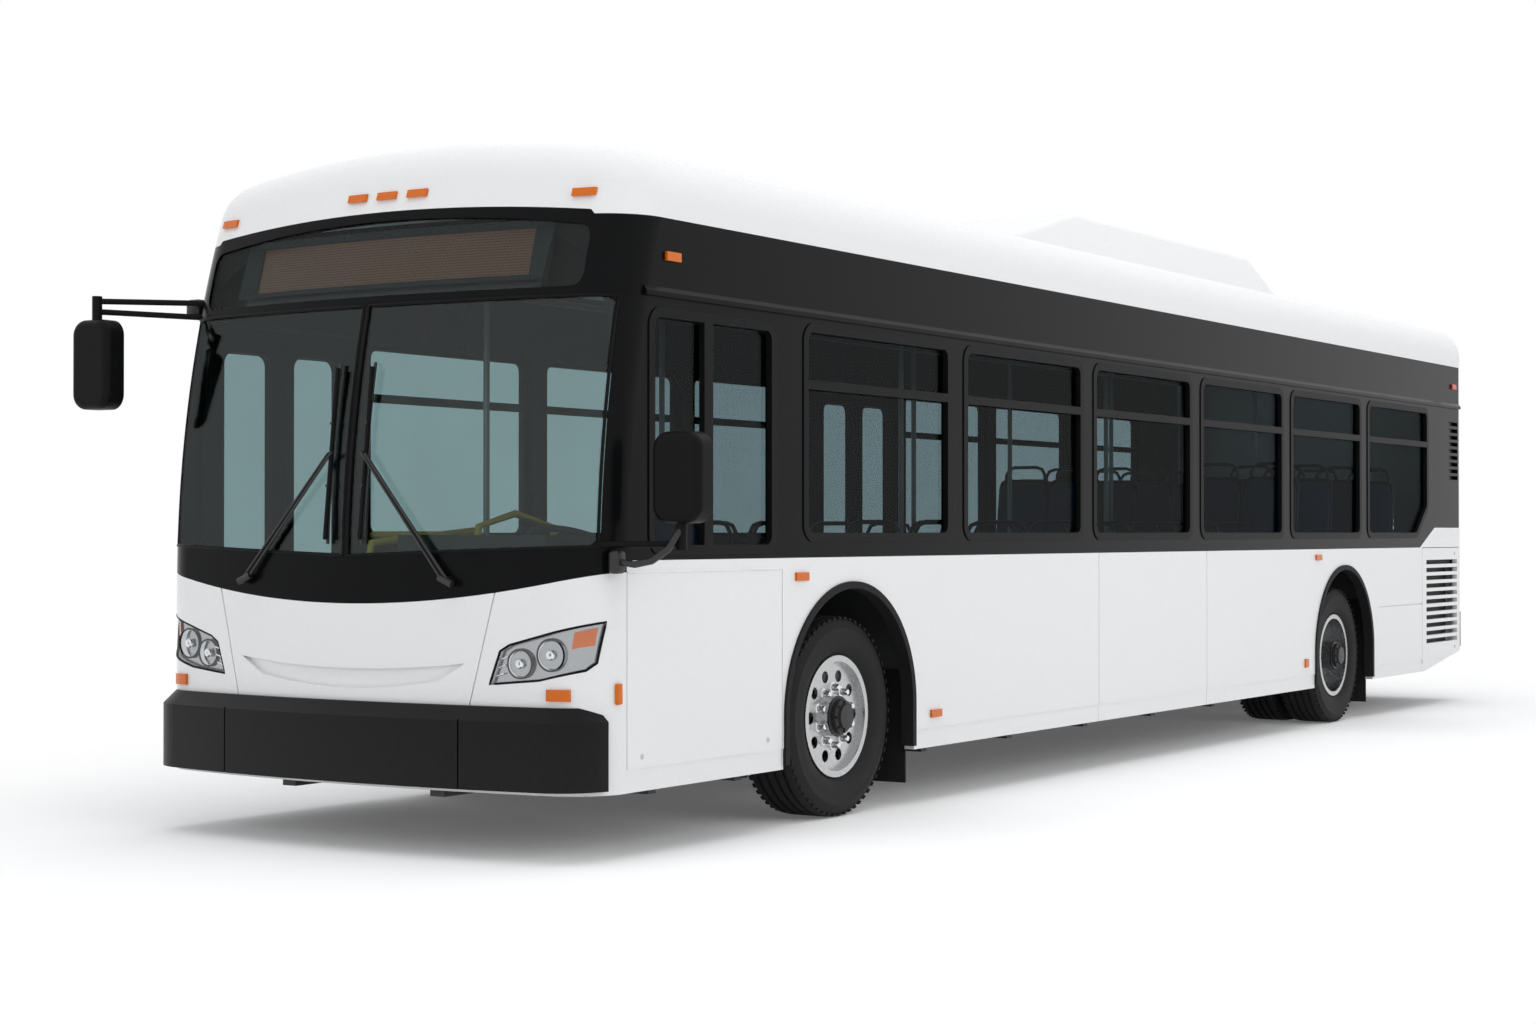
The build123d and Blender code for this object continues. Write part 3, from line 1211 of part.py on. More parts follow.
# Amber and red lamps, set on the panels
def side_lamp(x, z, length, height):
    lens = box(x - length / 2, x + length / 2, HALF_W + FIT, HALF_W + LENS_T, z - height / 2, z + height / 2)
    return lens


amber = []
for x, z, length, height in SIDE_AMBER:
    amber.extend([side_lamp(x, z, length, height), twin(side_lamp(x, z, length, height))])
nose_skin = skin(-LENS_T, -FIT)
for y, z, width, height in NOSE_AMBER:
    cut = slab_x(Pos(y, z) * Rectangle(width, height), CORNER_X - SHELL_MARGIN, FAR)
    amber.append(nose_skin & cut)
save("amber_lamps", *amber)
red = []
for x, z, length, height in SIDE_RED:
    red.extend([side_lamp(x, z, length, height), twin(side_lamp(x, z, length, height))])
for y, z, radius in TAIL_LAMPS:
    lens = Pos(BODY_REAR_X - FIT - LENS_T / 2, y, z) * Rot(0, 90, 0) * Cylinder(radius, LENS_T)
    red.extend([lens, twin(lens)])
save("red_lamps", *red)
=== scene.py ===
import bpy
import bmesh
import json
import math
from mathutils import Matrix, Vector


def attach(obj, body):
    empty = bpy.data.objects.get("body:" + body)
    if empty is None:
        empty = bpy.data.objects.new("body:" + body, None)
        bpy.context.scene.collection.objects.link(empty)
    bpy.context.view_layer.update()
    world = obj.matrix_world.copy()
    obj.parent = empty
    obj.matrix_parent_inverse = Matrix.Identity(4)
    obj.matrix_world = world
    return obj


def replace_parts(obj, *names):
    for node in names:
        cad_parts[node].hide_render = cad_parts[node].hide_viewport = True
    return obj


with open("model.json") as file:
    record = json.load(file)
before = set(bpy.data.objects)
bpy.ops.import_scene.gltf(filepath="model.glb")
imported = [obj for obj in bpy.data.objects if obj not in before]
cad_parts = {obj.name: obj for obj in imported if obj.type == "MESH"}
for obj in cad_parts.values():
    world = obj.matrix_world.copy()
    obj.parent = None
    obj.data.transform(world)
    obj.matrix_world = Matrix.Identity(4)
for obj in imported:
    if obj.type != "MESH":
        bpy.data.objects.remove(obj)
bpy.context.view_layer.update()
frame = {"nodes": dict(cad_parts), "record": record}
NODES = frame["nodes"]

# Main sizes of the bus, in metres
HALF_W = 1.295
FRONT_X = 6.215
FRONT_AXLE = 3.96
REAR_AXLE = -3.24
WHEEL_Y = 1.085
TYRE_R = 0.499
BOW_R = 6.2
CORNER_R = 0.26
RAKE_R = 5.755
RAKE_Z = 1.15
BOW_X = FRONT_X - BOW_R
CORNER_Y = HALF_W - CORNER_R
CORNER_X = BOW_X + math.sqrt((BOW_R - CORNER_R) ** 2 - CORNER_Y ** 2)
TURN_Y = BOW_R * CORNER_Y / (BOW_R - CORNER_R)
FULL_TURN = 2 * math.pi

# Each door's front edge and its length along the side
DOORS = {"front": (CORNER_X - 0.06, 1.024), "rear": (0.12, 1.10)}


def nose_x(y, z):
    """Outer face of the front end at that place across and up."""
    a = abs(y)
    if a < TURN_Y:
        x = BOW_X + math.sqrt(BOW_R ** 2 - a * a)
    else:
        x = CORNER_X + math.sqrt(max(CORNER_R ** 2 - (a - CORNER_Y) ** 2, 0.0))
    rise = max(z - RAKE_Z, 0.0)
    radius = RAKE_R - (FRONT_X - x)
    return x - (radius - math.sqrt(max(radius ** 2 - rise ** 2, 0.0)))


# Materials
DUST_FULL_Z, DUST_NONE_Z = 0.28, 0.75
DUST = (0.36, 0.34, 0.31, 1)
PLAIN_WHITE = (1, 1, 1, 1)


def shader(name):
    m = bpy.data.materials.new(name)
    m.use_nodes = True
    m.node_tree.nodes.clear()
    return m, m.node_tree.nodes, m.node_tree.links


def surface(name, colour, rough, metal=0.0, coat=0.0, speck=0.06, speck_scale=40.0, bump=0.02, bump_scale=60.0,
            dirt=0.0, sheen=0.0, shine=0.5):
    """Paint, plastic or metal with a fine grain, and dust near the ground where dirt is given."""
    m, n, l = shader(name)
    out = n.new("ShaderNodeOutputMaterial")
    b = n.new("ShaderNodeBsdfPrincipled")
    l.new(b.outputs[0], out.inputs[0])
    coord = n.new("ShaderNodeTexCoord")
    noise = n.new("ShaderNodeTexNoise")
    noise.inputs["Scale"].default_value = speck_scale
    noise.inputs["Detail"].default_value = 4.0
    l.new(coord.outputs["Object"], noise.inputs["Vector"])
    ramp = n.new("ShaderNodeMixRGB")
    ramp.inputs[1].default_value = (*[c * (1 - speck) for c in colour], 1)
    ramp.inputs[2].default_value = (*[min(1.0, c * (1 + speck)) for c in colour], 1)
    l.new(noise.outputs["Fac"], ramp.inputs[0])
    last = ramp.outputs[0]
    if dirt:
        split = n.new("ShaderNodeSeparateXYZ")
        l.new(coord.outputs["Object"], split.inputs[0])
        level = n.new("ShaderNodeMapRange")
        level.inputs["From Min"].default_value = DUST_FULL_Z
        level.inputs["From Max"].default_value = DUST_NONE_Z
        level.inputs["To Min"].default_value = dirt
        level.inputs["To Max"].default_value = 0.0
        l.new(split.outputs["Z"], level.inputs["Value"])
        patch = n.new("ShaderNodeMath")
        patch.operation = "MULTIPLY"
        l.new(level.outputs[0], patch.inputs[0])
        l.new(noise.outputs["Fac"], patch.inputs[1])
        soil = n.new("ShaderNodeMixRGB")
        soil.inputs[2].default_value = DUST
        l.new(patch.outputs[0], soil.inputs[0])
        l.new(last, soil.inputs[1])
        last = soil.outputs[0]
    l.new(last, b.inputs["Base Color"])
    b.inputs["Metallic"].default_value = metal
    if coat:
        b.inputs["Coat Weight"].default_value = coat
        b.inputs["Coat Roughness"].default_value = 0.05
    if sheen:
        b.inputs["Sheen Weight"].default_value = sheen
    spread = n.new("ShaderNodeMapRange")
    spread.inputs["To Min"].default_value = max(rough - 0.05, 0.0)
    spread.inputs["To Max"].default_value = min(rough + 0.06, 1.0)
    l.new(noise.outputs["Fac"], spread.inputs["Value"])
    l.new(spread.outputs[0], b.inputs["Roughness"])
    if bump:
        grain = n.new("ShaderNodeTexNoise")
        grain.inputs["Scale"].default_value = bump_scale
        grain.inputs["Detail"].default_value = 3.0
        l.new(coord.outputs["Object"], grain.inputs["Vector"])
        bp = n.new("ShaderNodeBump")
        bp.inputs["Strength"].default_value = bump
        bp.inputs["Distance"].default_value = 0.01
        l.new(grain.outputs["Fac"], bp.inputs["Height"])
        l.new(bp.outputs[0], b.inputs["Normal"])
    b.inputs["Specular IOR Level"].default_value = shine
    return m


def glazing(name, tint, mirror_share):
    """Tinted pane that lets light through and mirrors a fixed share."""
    m, n, l = shader(name)
    out = n.new("ShaderNodeOutputMaterial")
    mix = n.new("ShaderNodeMixShader")
    clear = n.new("ShaderNodeBsdfTransparent")
    gloss = n.new("ShaderNodeBsdfGlossy")
    gloss.inputs["Color"].default_value = PLAIN_WHITE
    gloss.inputs["Roughness"].default_value = 0.03
    coord = n.new("ShaderNodeTexCoord")
    noise = n.new("ShaderNodeTexNoise")
    noise.inputs["Scale"].default_value = 1.4
    l.new(coord.outputs["Object"], noise.inputs["Vector"])
    shade = n.new("ShaderNodeMixRGB")
    shade.inputs[1].default_value = (*[c * 0.96 for c in tint], 1)
    shade.inputs[2].default_value = (*tint, 1)
    l.new(noise.outputs["Fac"], shade.inputs[0])
    l.new(shade.outputs[0], clear.inputs["Color"])
    mix.inputs[0].default_value = mirror_share
    l.new(clear.outputs[0], mix.inputs[1])
    l.new(gloss.outputs[0], mix.inputs[2])
    l.new(mix.outputs[0], out.inputs[0])
    return m


def lens(name, colour, through=0.35):
    """Coloured lamp cover with fine ribs and a faint glow."""
    m, n, l = shader(name)
    out = n.new("ShaderNodeOutputMaterial")
    b = n.new("ShaderNodeBsdfPrincipled")
    b.inputs["Base Color"].default_value = (*colour, 1)
    b.inputs["Roughness"].default_value = 0.08
    b.inputs["Specular IOR Level"].default_value = 0.25
    b.inputs["Coat Weight"].default_value = 0.15
    coord = n.new("ShaderNodeTexCoord")
    wave = n.new("ShaderNodeTexWave")
    wave.inputs["Scale"].default_value = 30.0
    wave.inputs["Distortion"].default_value = 0.2
    l.new(coord.outputs["Object"], wave.inputs["Vector"])
    bp = n.new("ShaderNodeBump")
    bp.inputs["Strength"].default_value = 0.25
    bp.inputs["Distance"].default_value = 0.002
    l.new(wave.outputs["Fac"], bp.inputs["Height"])
    l.new(bp.outputs[0], b.inputs["Normal"])
    b.inputs["Emission Color"].default_value = (*colour, 1)
    b.inputs["Emission Strength"].default_value = through * 0.3
    l.new(b.outputs[0], out.inputs[0])
    return m


DOT_PITCH = 0.0125
DOT_SHARE = 0.12
SIGN_HALF_W = 0.81
SIGN_LOW_Z, SIGN_HIGH_Z = 2.542, 2.752


def dot_matrix(name):
    """Unlit display: brown dots in rows on black, kept to the display's own window, with a faint painted glow of its
    own colours.
    """
    m, n, l = shader(name)
    out = n.new("ShaderNodeOutputMaterial")
    b = n.new("ShaderNodeBsdfPrincipled")
    l.new(b.outputs[0], out.inputs[0])
    coord = n.new("ShaderNodeTexCoord")
    split = n.new("ShaderNodeSeparateXYZ")
    l.new(coord.outputs["Object"], split.inputs[0])

    def calc(kind, one, two=None, value=None):
        node = n.new("ShaderNodeMath")
        node.operation = kind
        l.new(one, node.inputs[0])
        if two is not None:
            l.new(two, node.inputs[1])
        if value is not None:
            node.inputs[1].default_value = value
        return node.outputs[0]

    def cell(axis):
        scaled = calc("MULTIPLY", split.outputs[axis], value=1 / DOT_PITCH)
        part = calc("FRACT", scaled)
        centred = calc("SUBTRACT", part, value=0.5)
        return calc("MULTIPLY", centred, centred)

    far = calc("ADD", cell("Y"), cell("Z"))
    dot = calc("LESS_THAN", far, value=DOT_SHARE)
    wide = calc("LESS_THAN", calc("ABSOLUTE", split.outputs["Y"]), value=SIGN_HALF_W)
    low = calc("GREATER_THAN", split.outputs["Z"], value=SIGN_LOW_Z)
    high = calc("LESS_THAN", split.outputs["Z"], value=SIGN_HIGH_Z)
    window = calc("MULTIPLY", calc("MULTIPLY", wide, low), high)
    face = n.new("ShaderNodeMixRGB")
    face.inputs[1].default_value = (0.045, 0.024, 0.014, 1)
    face.inputs[2].default_value = (0.15, 0.068, 0.036, 1)
    l.new(dot, face.inputs[0])
    rim = n.new("ShaderNodeMixRGB")
    rim.inputs[1].default_value = (0.018, 0.02, 0.022, 1)
    l.new(window, rim.inputs[0])
    l.new(face.outputs[0], rim.inputs[2])
    l.new(rim.outputs[0], b.inputs["Base Color"])
    b.inputs["Roughness"].default_value = 0.5
    # Painted glow: the unlit display gives off a faint light in its dot and rim colours
    l.new(rim.outputs[0], b.inputs["Emission Color"])
    b.inputs["Emission Strength"].default_value = 0.15
    return m


MAT = {
    "white_paint": surface("white_paint", (0.80, 0.805, 0.81), 0.28, coat=0.2, speck=0.004, speck_scale=220.0,
                           bump=0.004, bump_scale=900.0, dirt=0.03),
    "black_panel": surface("black_panel", (0.004, 0.0043, 0.0048), 0.22, speck=0.2, speck_scale=6.0,
                           bump=0.004, bump_scale=500.0, shine=0.07),
    "frame_black": surface("frame_black", (0.006, 0.006, 0.0065), 0.42, speck=0.15, speck_scale=60, bump=0.04,
                           bump_scale=260, shine=0.08),
    "bumper_black": surface("bumper_black", (0.006, 0.006, 0.0065), 0.40, speck=0.15, speck_scale=50, bump=0.08,
                            bump_scale=420, dirt=0.02, shine=0.14),
    "screen_glass": glazing("screen_glass", (0.72, 0.815, 0.81), 0.025),
    "side_glass": glazing("side_glass", (0.58, 0.645, 0.66), 0.012),
    "sign": dot_matrix("sign"),
    "lamp_lens": glazing("lamp_lens", (0.95, 0.96, 0.97), 0.08),
    "amber": lens("amber", (0.62, 0.13, 0.002), 0.1),
    "red": lens("red", (0.50, 0.01, 0.01)),
    "rubber": surface("rubber", (0.012, 0.012, 0.012), 0.62, speck=0.2, speck_scale=90, bump=0.10, bump_scale=300,
                      dirt=0.02, shine=0.15),
    "tyre": surface("tyre", (0.012, 0.012, 0.012), 0.66, speck=0.25, speck_scale=30, bump=0.12, bump_scale=260,
                    dirt=0.02, shine=0.2),
    "wheel_alloy": surface("wheel_alloy", (0.52, 0.525, 0.53), 0.27, metal=1.0, speck=0.05, speck_scale=25, bump=0.03,
                           bump_scale=140),
    "floor_grey": surface("floor_grey", (0.045, 0.047, 0.05), 0.7, speck=0.3, speck_scale=160, bump=0.06,
                          bump_scale=200),
    "frame_steel": surface("frame_steel", (0.03, 0.03, 0.031), 0.55, speck=0.3, speck_scale=30, bump=0.08,
                           bump_scale=80),
    "cast": surface("cast", (0.045, 0.045, 0.046), 0.55, metal=0.3, speck=0.3, speck_scale=30, bump=0.12,
                    bump_scale=90),
    "dash_plastic": surface("dash_plastic", (0.016, 0.018, 0.020), 0.55, speck=0.15, speck_scale=80, bump=0.08,
                            bump_scale=500, shine=0.2),
    "seat_blue": surface("seat_blue", (0.018, 0.035, 0.085), 0.75, speck=0.35, speck_scale=150, bump=0.12,
                         bump_scale=380, sheen=0.2),
    "rail_steel": surface("rail_steel", (0.22, 0.22, 0.215), 0.34, metal=1.0, speck=0.05, speck_scale=60, bump=0.01),
}
MAT["chrome"] = surface("chrome", (0.78, 0.79, 0.80), 0.12, metal=1.0, speck=0.03, bump=0.01)
MAT["lamp_silver"] = surface("lamp_silver", (0.42, 0.43, 0.44), 0.22, metal=1.0, speck=0.06, bump=0.02)
MAT["bowl_silver"] = surface("bowl_silver", (0.62, 0.63, 0.64), 0.16, metal=1.0, speck=0.03, bump=0.01)
MAT["hub_black"] = surface("hub_black", (0.02, 0.02, 0.021), 0.38, metal=0.4, speck=0.2, bump=0.05)
MAT["yellow"] = surface("yellow", (0.62, 0.42, 0.02), 0.4, speck=0.08, bump=0.02)
MAT["handle_black"] = surface("handle_black", (0.012, 0.012, 0.013), 0.4, speck=0.1, bump=0.03)
MAT["mirror_face"] = surface("mirror_face", (0.75, 0.77, 0.78), 0.04, metal=1.0, speck=0.01, bump=0.004)
MAT["sign_glass"] = glazing("sign_glass", (0.84, 0.87, 0.87), 0.012)
MAT["latch_steel"] = surface("latch_steel", (0.5, 0.5, 0.5), 0.35, metal=1.0, speck=0.05, bump=0.01)
MAT["bezel_grey"] = surface("bezel_grey", (0.014, 0.020, 0.022), 0.5, speck=0.1, bump=0.02, shine=0.15)
MAT["rail_grey"] = surface("rail_grey", (0.05, 0.052, 0.055), 0.4, metal=0.5, speck=0.1, bump=0.02)

SLOT_OF = {row["node"]: row["material_slot"] for row in frame["record"]["subparts"]}
for name, node in NODES.items():
    node.data.materials.clear()
    node.data.materials.append(MAT[SLOT_OF[name]])


# Mesh builder
SHARP_ANGLE = math.radians(35)


class Shape:
    """Gathers faces and turns them into one piece that rides on a body."""

    def __init__(self):
        self.verts = []
        self.faces = []

    def add(self, verts, faces):
        start = len(self.verts)
        self.verts += [tuple(v) for v in verts]
        self.faces += [tuple(start + i for i in f) for f in faces]

    def box(self, low, high, bevel=0.0):
        bm = bmesh.new()
        bmesh.ops.create_cube(bm, size=1.0)
        size = [abs(high[i] - low[i]) for i in range(3)]
        for v in bm.verts:
            v.co = Vector([(low[i] + high[i]) / 2 + v.co[i] * size[i] for i in range(3)])
        if bevel:
            bmesh.ops.bevel(bm, geom=bm.edges[:], offset=min(bevel, min(size) * 0.49), segments=3, profile=0.5,
                            affect="EDGES")
        self.take(bm)

    def take(self, bm):
        bm.verts.index_update()
        self.add([v.co for v in bm.verts], [[v.index for v in f.verts] for f in bm.faces])
        bm.free()

    def tube(self, points, radius, sides=12, closed=False):
        points = [Vector(p) for p in points]
        count = len(points)
        rings = []
        normal = None
        for i, p in enumerate(points):
            before = points[i - 1] if (i > 0 or closed) else p
            after = points[(i + 1) % count] if (i < count - 1 or closed) else p
            along = (after - before).normalized()
            if normal is None:
                normal = along.orthogonal().normalized()
            normal = (normal - along * normal.dot(along)).normalized()
            side = along.cross(normal)
            turns = [FULL_TURN * k / sides for k in range(sides)]
            rings.append([p + (normal * math.cos(t) + side * math.sin(t)) * radius for t in turns])
        verts = [v for ring in rings for v in ring]
        faces = []
        last = count if closed else count - 1
        for i in range(last):
            j = (i + 1) % count
            for k in range(sides):
                q = (k + 1) % sides
                faces.append((i * sides + k, i * sides + q, j * sides + q, j * sides + k))
        if not closed:
            faces.append(tuple(reversed(range(sides))))
            faces.append(tuple((count - 1) * sides + k for k in range(sides)))
        self.add(verts, faces)

    def ring(self, centre, profile, axis="Y", sides=72, closed=True):
        """Turns a profile of (radius, along) pairs about the axis through centre."""
        verts = []
        for s in range(sides):
            t = FULL_TURN * s / sides
            for r, a in profile:
                if axis == "Y":
                    verts.append((centre[0] + r * math.cos(t), centre[1] + a, centre[2] + r * math.sin(t)))
                else:
                    verts.append((centre[0] + a, centre[1] + r * math.cos(t), centre[2] + r * math.sin(t)))
        m = len(profile)
        faces = []
        for s in range(sides):
            q = (s + 1) % sides
            for k in range(m if closed else m - 1):
                j = (k + 1) % m
                faces.append((s * m + k, q * m + k, q * m + j, s * m + j))
        self.add(verts, faces)

    def make(self, name, material, body):
        mesh = bpy.data.meshes.new(name)
        mesh.from_pydata(self.verts, [], self.faces)
        bm = bmesh.new()
        bm.from_mesh(mesh)
        bmesh.ops.recalc_face_normals(bm, faces=bm.faces[:])
        bm.to_mesh(mesh)
        bm.free()
        mesh.materials.append(MAT[material])
        obj = bpy.data.objects.new(name, mesh)
        bpy.context.scene.collection.objects.link(obj)
        mesh.shade_smooth()
        mesh.set_sharp_from_angle(angle=SHARP_ANGLE)
        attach(obj, body)
        return obj


# Tyres with a ribbed tread and moulded sidewalls
SIDEWALL = [(0.2865, -0.112), (0.306, -0.112), (0.322, -0.128), (0.352, -0.143), (0.392, -0.1495), (0.430, -0.1475),
            (0.434, -0.1490), (0.440, -0.1490), (0.444, -0.1465), (0.462, -0.1405), (0.480, -0.133), (0.4905, -0.124),
            (0.4965, -0.114)]
GROOVES = (-0.078, -0.027, 0.027, 0.078)
TREAD_R, GROOVE_R = 0.4988, 0.485
GROOVE_TOP, GROOVE_FOOT = 0.009, 0.005
TWIN_GAP = 0.34
LUG_COUNT = 60
LUG_R, LUG_Y = 0.488, 0.1275
LUG_HALF = (0.011, 0.0045, 0.012)
BLOCK_FACES = [(0, 1, 3, 2), (4, 6, 7, 5), (0, 4, 5, 1), (2, 3, 7, 6), (0, 2, 6, 4), (1, 5, 7, 3)]


def tyre_profile():
    tread = []
    for g in GROOVES:
        tread += [(TREAD_R, g - GROOVE_TOP), (GROOVE_R, g - GROOVE_FOOT), (GROOVE_R, g + GROOVE_FOOT),
                  (TREAD_R, g + GROOVE_TOP)]
    return SIDEWALL + tread + [(r, -a) for r, a in reversed(SIDEWALL)]


def tyre(name, axle_x, ys, body, nodes):
    s = Shape()
    for y in ys:
        s.ring((axle_x, y, TYRE_R), tyre_profile(), sides=96)
        for k in range(LUG_COUNT):
            t = FULL_TURN * k / LUG_COUNT
            for edge in (-1, 1):
                out = Vector((math.cos(t), 0, math.sin(t)))
                along = Vector((-math.sin(t), 0, math.cos(t)))
                across = Vector((0, edge, 0))
                c = Vector((axle_x, y, TYRE_R)) + out * LUG_R + across * LUG_Y
                w, h, d = LUG_HALF
                pts = []
                for a in (-w, w):
                    for b in (-h, h):
                        for e in (-d, d):
                            pts.append(c + along * a + out * b + across * e)
                s.add(pts, BLOCK_FACES)
    obj = s.make(name, "tyre", body)
    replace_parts(obj, nodes)


INNER_Y = WHEEL_Y - TWIN_GAP
tyre("tyre_skin_front_left", FRONT_AXLE, [WHEEL_Y], "wheel_front_left", "front_tyre_left")
tyre("tyre_skin_front_right", FRONT_AXLE, [-WHEEL_Y], "wheel_front_right", "front_tyre_right")
tyre("tyre_skin_rear_left", REAR_AXLE, [WHEEL_Y, INNER_Y], "wheels_rear_left", "rear_tyres_left")
tyre("tyre_skin_rear_right", REAR_AXLE, [-WHEEL_Y, -INNER_Y], "wheels_rear_right", "rear_tyres_right")


# Wheel nuts and hub caps
NUT_COUNT, NUT_CIRCLE_R = 10, 0.143
NUT = [(0.0, 0.0), (0.026, 0.0), (0.026, 0.006), (0.0185, 0.008), (0.0175, 0.034), (0.013, 0.044), (0.0, 0.046)]
CAP = [(0.0, 0.0), (0.101, 0.0), (0.101, 0.008), (0.088, 0.012), (0.084, 0.034), (0.066, 0.042), (0.062, 0.056),
       (0.0, 0.058)]
CAP_BOLTS, CAP_BOLT_CIRCLE_R, CAP_BOLT_OUT = 8, 0.074, 0.038
CAP_BOLT = [(0.0, 0.0), (0.007, 0.0), (0.007, 0.008), (0.0, 0.008)]
FRONT_NUT_OUT, FRONT_CAP_OUT = 0.092, 0.126
REAR_NUT_OUT, REAR_CAP_OUT = 0.074 - 0.17, 0.128


def wheel_trim(tag, axle_x, sign, face, hub_face, body):
    def outward(profile):
        return [(r, sign * a) for r, a in profile]

    nuts = Shape()
    for k in range(NUT_COUNT):
        t = FULL_TURN * (k + 0.5) / NUT_COUNT
        c = (axle_x + NUT_CIRCLE_R * math.cos(t), sign * face, TYRE_R + NUT_CIRCLE_R * math.sin(t))
        nuts.ring(c, outward(NUT), sides=12, closed=False)
    nuts.make("wheel_nuts_" + tag, "chrome", body)
    cap = Shape()
    c = (axle_x, sign * hub_face, TYRE_R)
    cap.ring(c, outward(CAP), sides=48, closed=False)
    for k in range(CAP_BOLTS):
        t = FULL_TURN * k / CAP_BOLTS
        p = (axle_x + CAP_BOLT_CIRCLE_R * math.cos(t), sign * (hub_face + CAP_BOLT_OUT),
             TYRE_R + CAP_BOLT_CIRCLE_R * math.sin(t))
        cap.ring(p, outward(CAP_BOLT), sides=6, closed=False)
    cap.make("hub_cap_" + tag, "hub_black", body)


for tag, sign in (("left", 1), ("right", -1)):
    wheel_trim("front_" + tag, FRONT_AXLE, sign, WHEEL_Y + FRONT_NUT_OUT, WHEEL_Y + FRONT_CAP_OUT,
               "wheel_front_" + tag)
    wheel_trim("rear_" + tag, REAR_AXLE, sign, WHEEL_Y + REAR_NUT_OUT, WHEEL_Y + REAR_CAP_OUT,
               "wheels_rear_" + tag)


# Headlamps: dark tray, two bowls and an amber signal under a clear cover
LAMP = [(0.784, 0.757), (0.836, 0.902), (0.882, 0.929), (1.100, 0.988), (1.268, 1.029), (1.246, 0.855),
        (1.215, 0.824), (1.028, 0.779)]
REFLECTORS = ((0.925, 0.848, 0.058), (1.072, 0.888, 0.064))
SIGNAL = [(1.160, 0.915), (1.170, 0.985), (1.245, 1.005), (1.236, 0.930)]
LAMP_AHEAD = Vector((1.6, 0, 0))
TRAY_DEPTH, BOWL_MOUTH, RIM_DEPTH = 0.026, 0.014, 0.013
SIGNAL_DEPTH, COVER_DEPTH, GASKET_DEPTH = 0.016, 0.003, 0.004
BOWL_DEPTH = 0.05
NORMAL_STEP = 0.004


def inset_outline(points, share):
    cy = sum(p[0] for p in points) / len(points)
    cz = sum(p[1] for p in points) / len(points)
    return [(cy + (y - cy) * share, cz + (z - cz) * share) for y, z in points]


def nose_sheet(outline, side, depth, step=0.03):
    """A sheet bounded by the outline that follows the front end at that depth."""
    bm = bmesh.new()
    vs = [bm.verts.new((0, y, z)) for y, z in outline]
    bm.faces.new(vs)
    ys = [p[0] for p in outline]
    zs = [p[1] for p in outline]
    y = min(ys) + step
    while y < max(ys):
        geom = bm.verts[:] + bm.edges[:] + bm.faces[:]
        bmesh.ops.bisect_plane(bm, geom=geom, plane_co=(0, y, 0), plane_no=(0, 1, 0))
        y += step
    z = min(zs) + step
    while z < max(zs):
        geom = bm.verts[:] + bm.edges[:] + bm.faces[:]
        bmesh.ops.bisect_plane(bm, geom=geom, plane_co=(0, 0, z), plane_no=(0, 0, 1))
        z += step
    for v in bm.verts:
        v.co.x = nose_x(v.co.y, v.co.z) - depth
        v.co.y *= side
    return bm


def nose_point(y, z, depth):
    return Vector((nose_x(y, z) - depth, y, z))


def nose_loop(corners, steps, side, depth):
    """Points along a closed outline, set in by that depth."""
    line = []
    for i, (y, z) in enumerate(corners):
        y2, z2 = corners[(i + 1) % len(corners)]
        for k in range(steps):
            f = k / steps
            p = nose_point(y + (y2 - y) * f, z + (z2 - z) * f, depth)
            line.append((p.x, p.y * side, p.z))
    return line


def nose_normal(y, z):
    d = NORMAL_STEP
    a = nose_point(y + d, z, 0) - nose_point(y - d, z, 0)
    b = nose_point(y, z + d, 0) - nose_point(y, z - d, 0)
    n = a.cross(b).normalized()
    return n if n.x > 0 else -n


def lamp_face(y, z, side, depth):
    """Middle and turn of a round lamp part that looks nearly ahead."""
    n = (nose_normal(y, z) + LAMP_AHEAD).normalized()
    n.y *= side
    c = nose_point(y, z, depth)
    c.y *= side
    return c, n.to_track_quat("Z", "Y").to_matrix()


def bowl(shape, y, z, side, radius, depth, sides=32):
    c, turn = lamp_face(y, z, side, BOWL_MOUTH)
    profile = [(radius, 0.0), (radius * 1.08, -0.002), (radius * 0.97, -depth * 0.12), (radius * 0.78, -depth * 0.55),
               (radius * 0.5, -depth * 0.85), (radius * 0.24, -depth)]
    verts = []
    for s in range(sides):
        t = FULL_TURN * s / sides
        for r, a in profile:
            verts.append(c + turn @ Vector((r * math.cos(t), r * math.sin(t), a)))
    m = len(profile)
    faces = []
    for s in range(sides):
        q = (s + 1) % sides
        for k in range(m - 1):
            faces.append((s * m + k, q * m + k, q * m + k + 1, s * m + k + 1))
    verts.append(c + turn @ Vector((0, 0, -depth * 0.7)))
    tip = len(verts) - 1
    for s in range(sides):
        q = (s + 1) % sides
        faces.append((s * m + m - 1, q * m + m - 1, tip))
    shape.add(verts, faces)


def lamp_ring(shape, y, z, side, radius, thick, steps=28):
    c, turn = lamp_face(y, z, side, RIM_DEPTH)
    turns = [FULL_TURN * k / steps for k in range(steps)]
    loop = [c + turn @ Vector((radius * math.cos(t), radius * math.sin(t), 0)) for t in turns]
    shape.tube(loop, thick, sides=8, closed=True)


